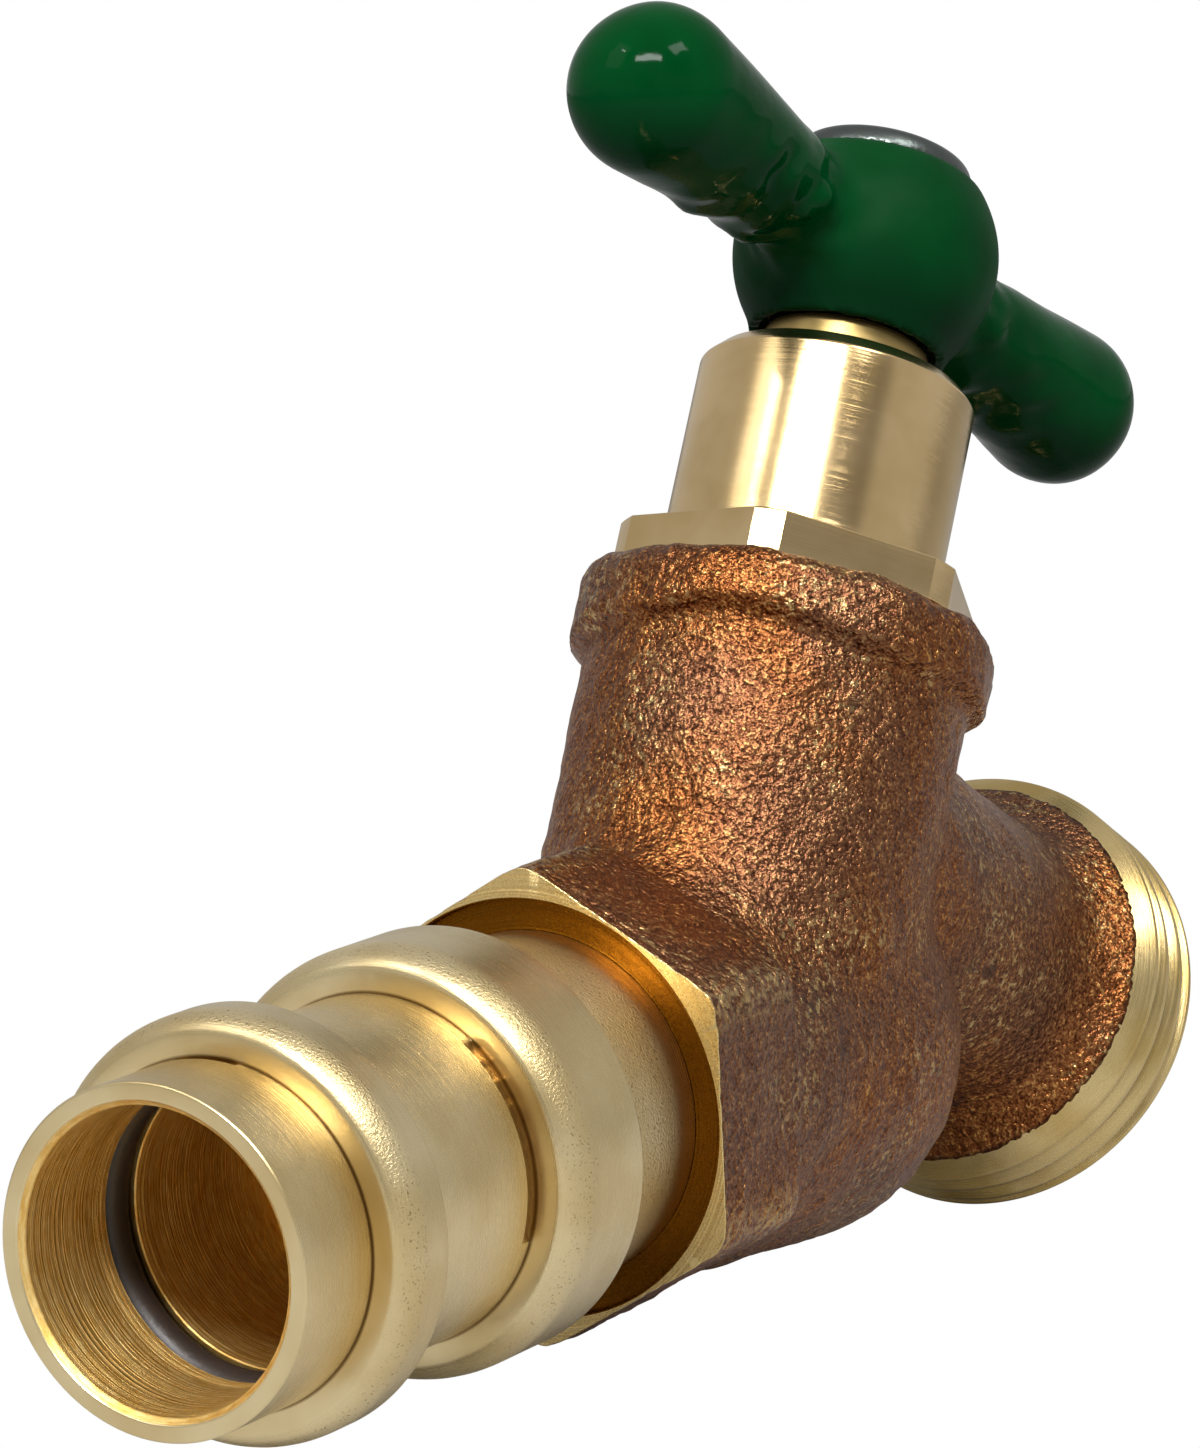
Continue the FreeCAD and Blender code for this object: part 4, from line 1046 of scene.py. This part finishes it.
# The studio: a pale paper floor just below the tap, which the camera sees as white, and a plain grey
# room with three dark cards, which the metal mirrors.
FLOOR = -0.0184
FLOOR_REACH = 3
mesh = bpy.data.meshes.new("floor")
ways = ((-1, -1), (1, -1), (1, 1), (-1, 1))
mesh.from_pydata([(x * FLOOR_REACH, y * FLOOR_REACH, FLOOR) for x, y in ways], [], [(0, 1, 2, 3)])
floor = bpy.data.objects.new("floor", mesh)
bpy.context.scene.collection.objects.link(floor)
paper, node, shader, mm = material("pale paper sweep", Base_Color="#acacac", Roughness=0.9)
white = node("Emission", (1, 1, 1, 1), 1.0)
mixed = node("MixShader", node("LightPath", out="Is Camera Ray"), shader.outputs[0], white)
feed(paper.node_tree.nodes["Material Output"], Surface=mixed)
mesh.materials.append(paper)

EYE = Vector((-0.15526074, 0.21320622, 0.06579018))
RIGHT = Vector((-0.86028156, -0.5079604, -0.04349563))
DOWN = Vector((-0.03877457, 0.15025929, -0.98788596))
AHEAD = Vector((0.50834257, -0.84817356, -0.14896124))


def heading(azimuth, elevation):
    """A direction from the tap. Azimuth 0 is the camera's side, and grows to its right."""
    a, e = math.radians(azimuth), math.radians(elevation)
    towards_camera = Vector((-AHEAD[0], -AHEAD[1], 0)).normalized()
    to_the_right = Vector((RIGHT[0], RIGHT[1], 0)).normalized()
    level = towards_camera * math.cos(a) + to_the_right * math.sin(a)
    return level * math.cos(e) + Vector((0, 0, math.sin(e)))


# Each card has a heading, the two cosines between which it fades, and how much of it there is.
CARDS = ((35, 36, 0.92, 0.98, 0.68), (-44, 47, 0.982, 0.998, 0.75), (-14, 9, 0.95, 0.985, 0.6))
CARD_GREY = (0.06, 0.06, 0.06, 1)
world = bpy.data.worlds.new("studio")
bpy.context.scene.world = world
world.use_nodes = True
node = partial(add, world.node_tree)
view = node("TexCoord", out="Generated")
height = node("Math", node("SeparateXYZ", view, out="Z"), 0.5, 0.5, operation="MULTIPLY_ADD")
room = node("ValToRGB", height, stops=((0.42, 0.52), (0.56, 0.52), (0.8, 0.47), (1.0, 0.5)))
for azimuth, elevation, near, far, strength in CARDS:
    facing = node("VectorMath", view, tuple(heading(azimuth, elevation)), operation="DOT_PRODUCT")
    card = node("MapRange", facing, near, far, 0, strength, **SMOOTH)
    room = node("Mix", card, room, CARD_GREY, data_type="RGBA")
seen = node("Mix", node("LightPath", out="Is Camera Ray"), room, (1, 1, 1, 1), data_type="RGBA")
feed(world.node_tree.nodes["Background"], Color=seen, Strength=1.0)

# The lamps: a wide soft box in front, one at each side, and a small bar for the thin glint on the left.
# Each has a heading, a size and a distance in metres, and a power in watts.
MIDDLE = Vector((0, -0.055, 0.02))
LAMPS = (("front_box", -12, 47, (0.3, 0.07), 0.6, 3.8), ("left_box", -69, 44, (0.22, 0.3), 0.6, 0.3),
         ("right_box", 50, 55, (0.2, 0.12), 0.6, 1.3), ("left_bar", -64, 52, (0.04, 0.012), 0.5, 0.12))
for name, azimuth, elevation, size, distance, power in LAMPS:
    away = heading(azimuth, elevation)
    lamp = bpy.data.lights.new(name, "AREA")
    lamp.shape = "RECTANGLE"
    lamp.size, lamp.size_y = size
    lamp.energy = power
    made = bpy.data.objects.new(name, lamp)
    bpy.context.scene.collection.objects.link(made)
    made.location = MIDDLE + away * distance
    made.rotation_mode = "QUATERNION"
    made.rotation_quaternion = away.to_track_quat("Z", "Y")

# The camera stands where the photograph was taken from. Its focal length is 5400 pixels of that
# picture, whose longer side, the height, is 1448 pixels.
SENSOR = 36
FOCAL_PIXELS = 5400
PICTURE_HEIGHT = 1448
lens = bpy.data.cameras.new("camera")
lens.sensor_width = SENSOR
lens.lens = FOCAL_PIXELS / PICTURE_HEIGHT * SENSOR
lens.clip_start = 0.02
lens.clip_end = 10
camera = bpy.data.objects.new("camera", lens)
bpy.context.scene.collection.objects.link(camera)
turn_rows = [[RIGHT[i], -DOWN[i], -AHEAD[i], EYE[i]] for i in range(3)]
camera.matrix_world = Matrix(turn_rows + [[0, 0, 0, 1]])
bpy.context.scene.camera = camera
bpy.context.scene.view_settings.view_transform = "Standard"
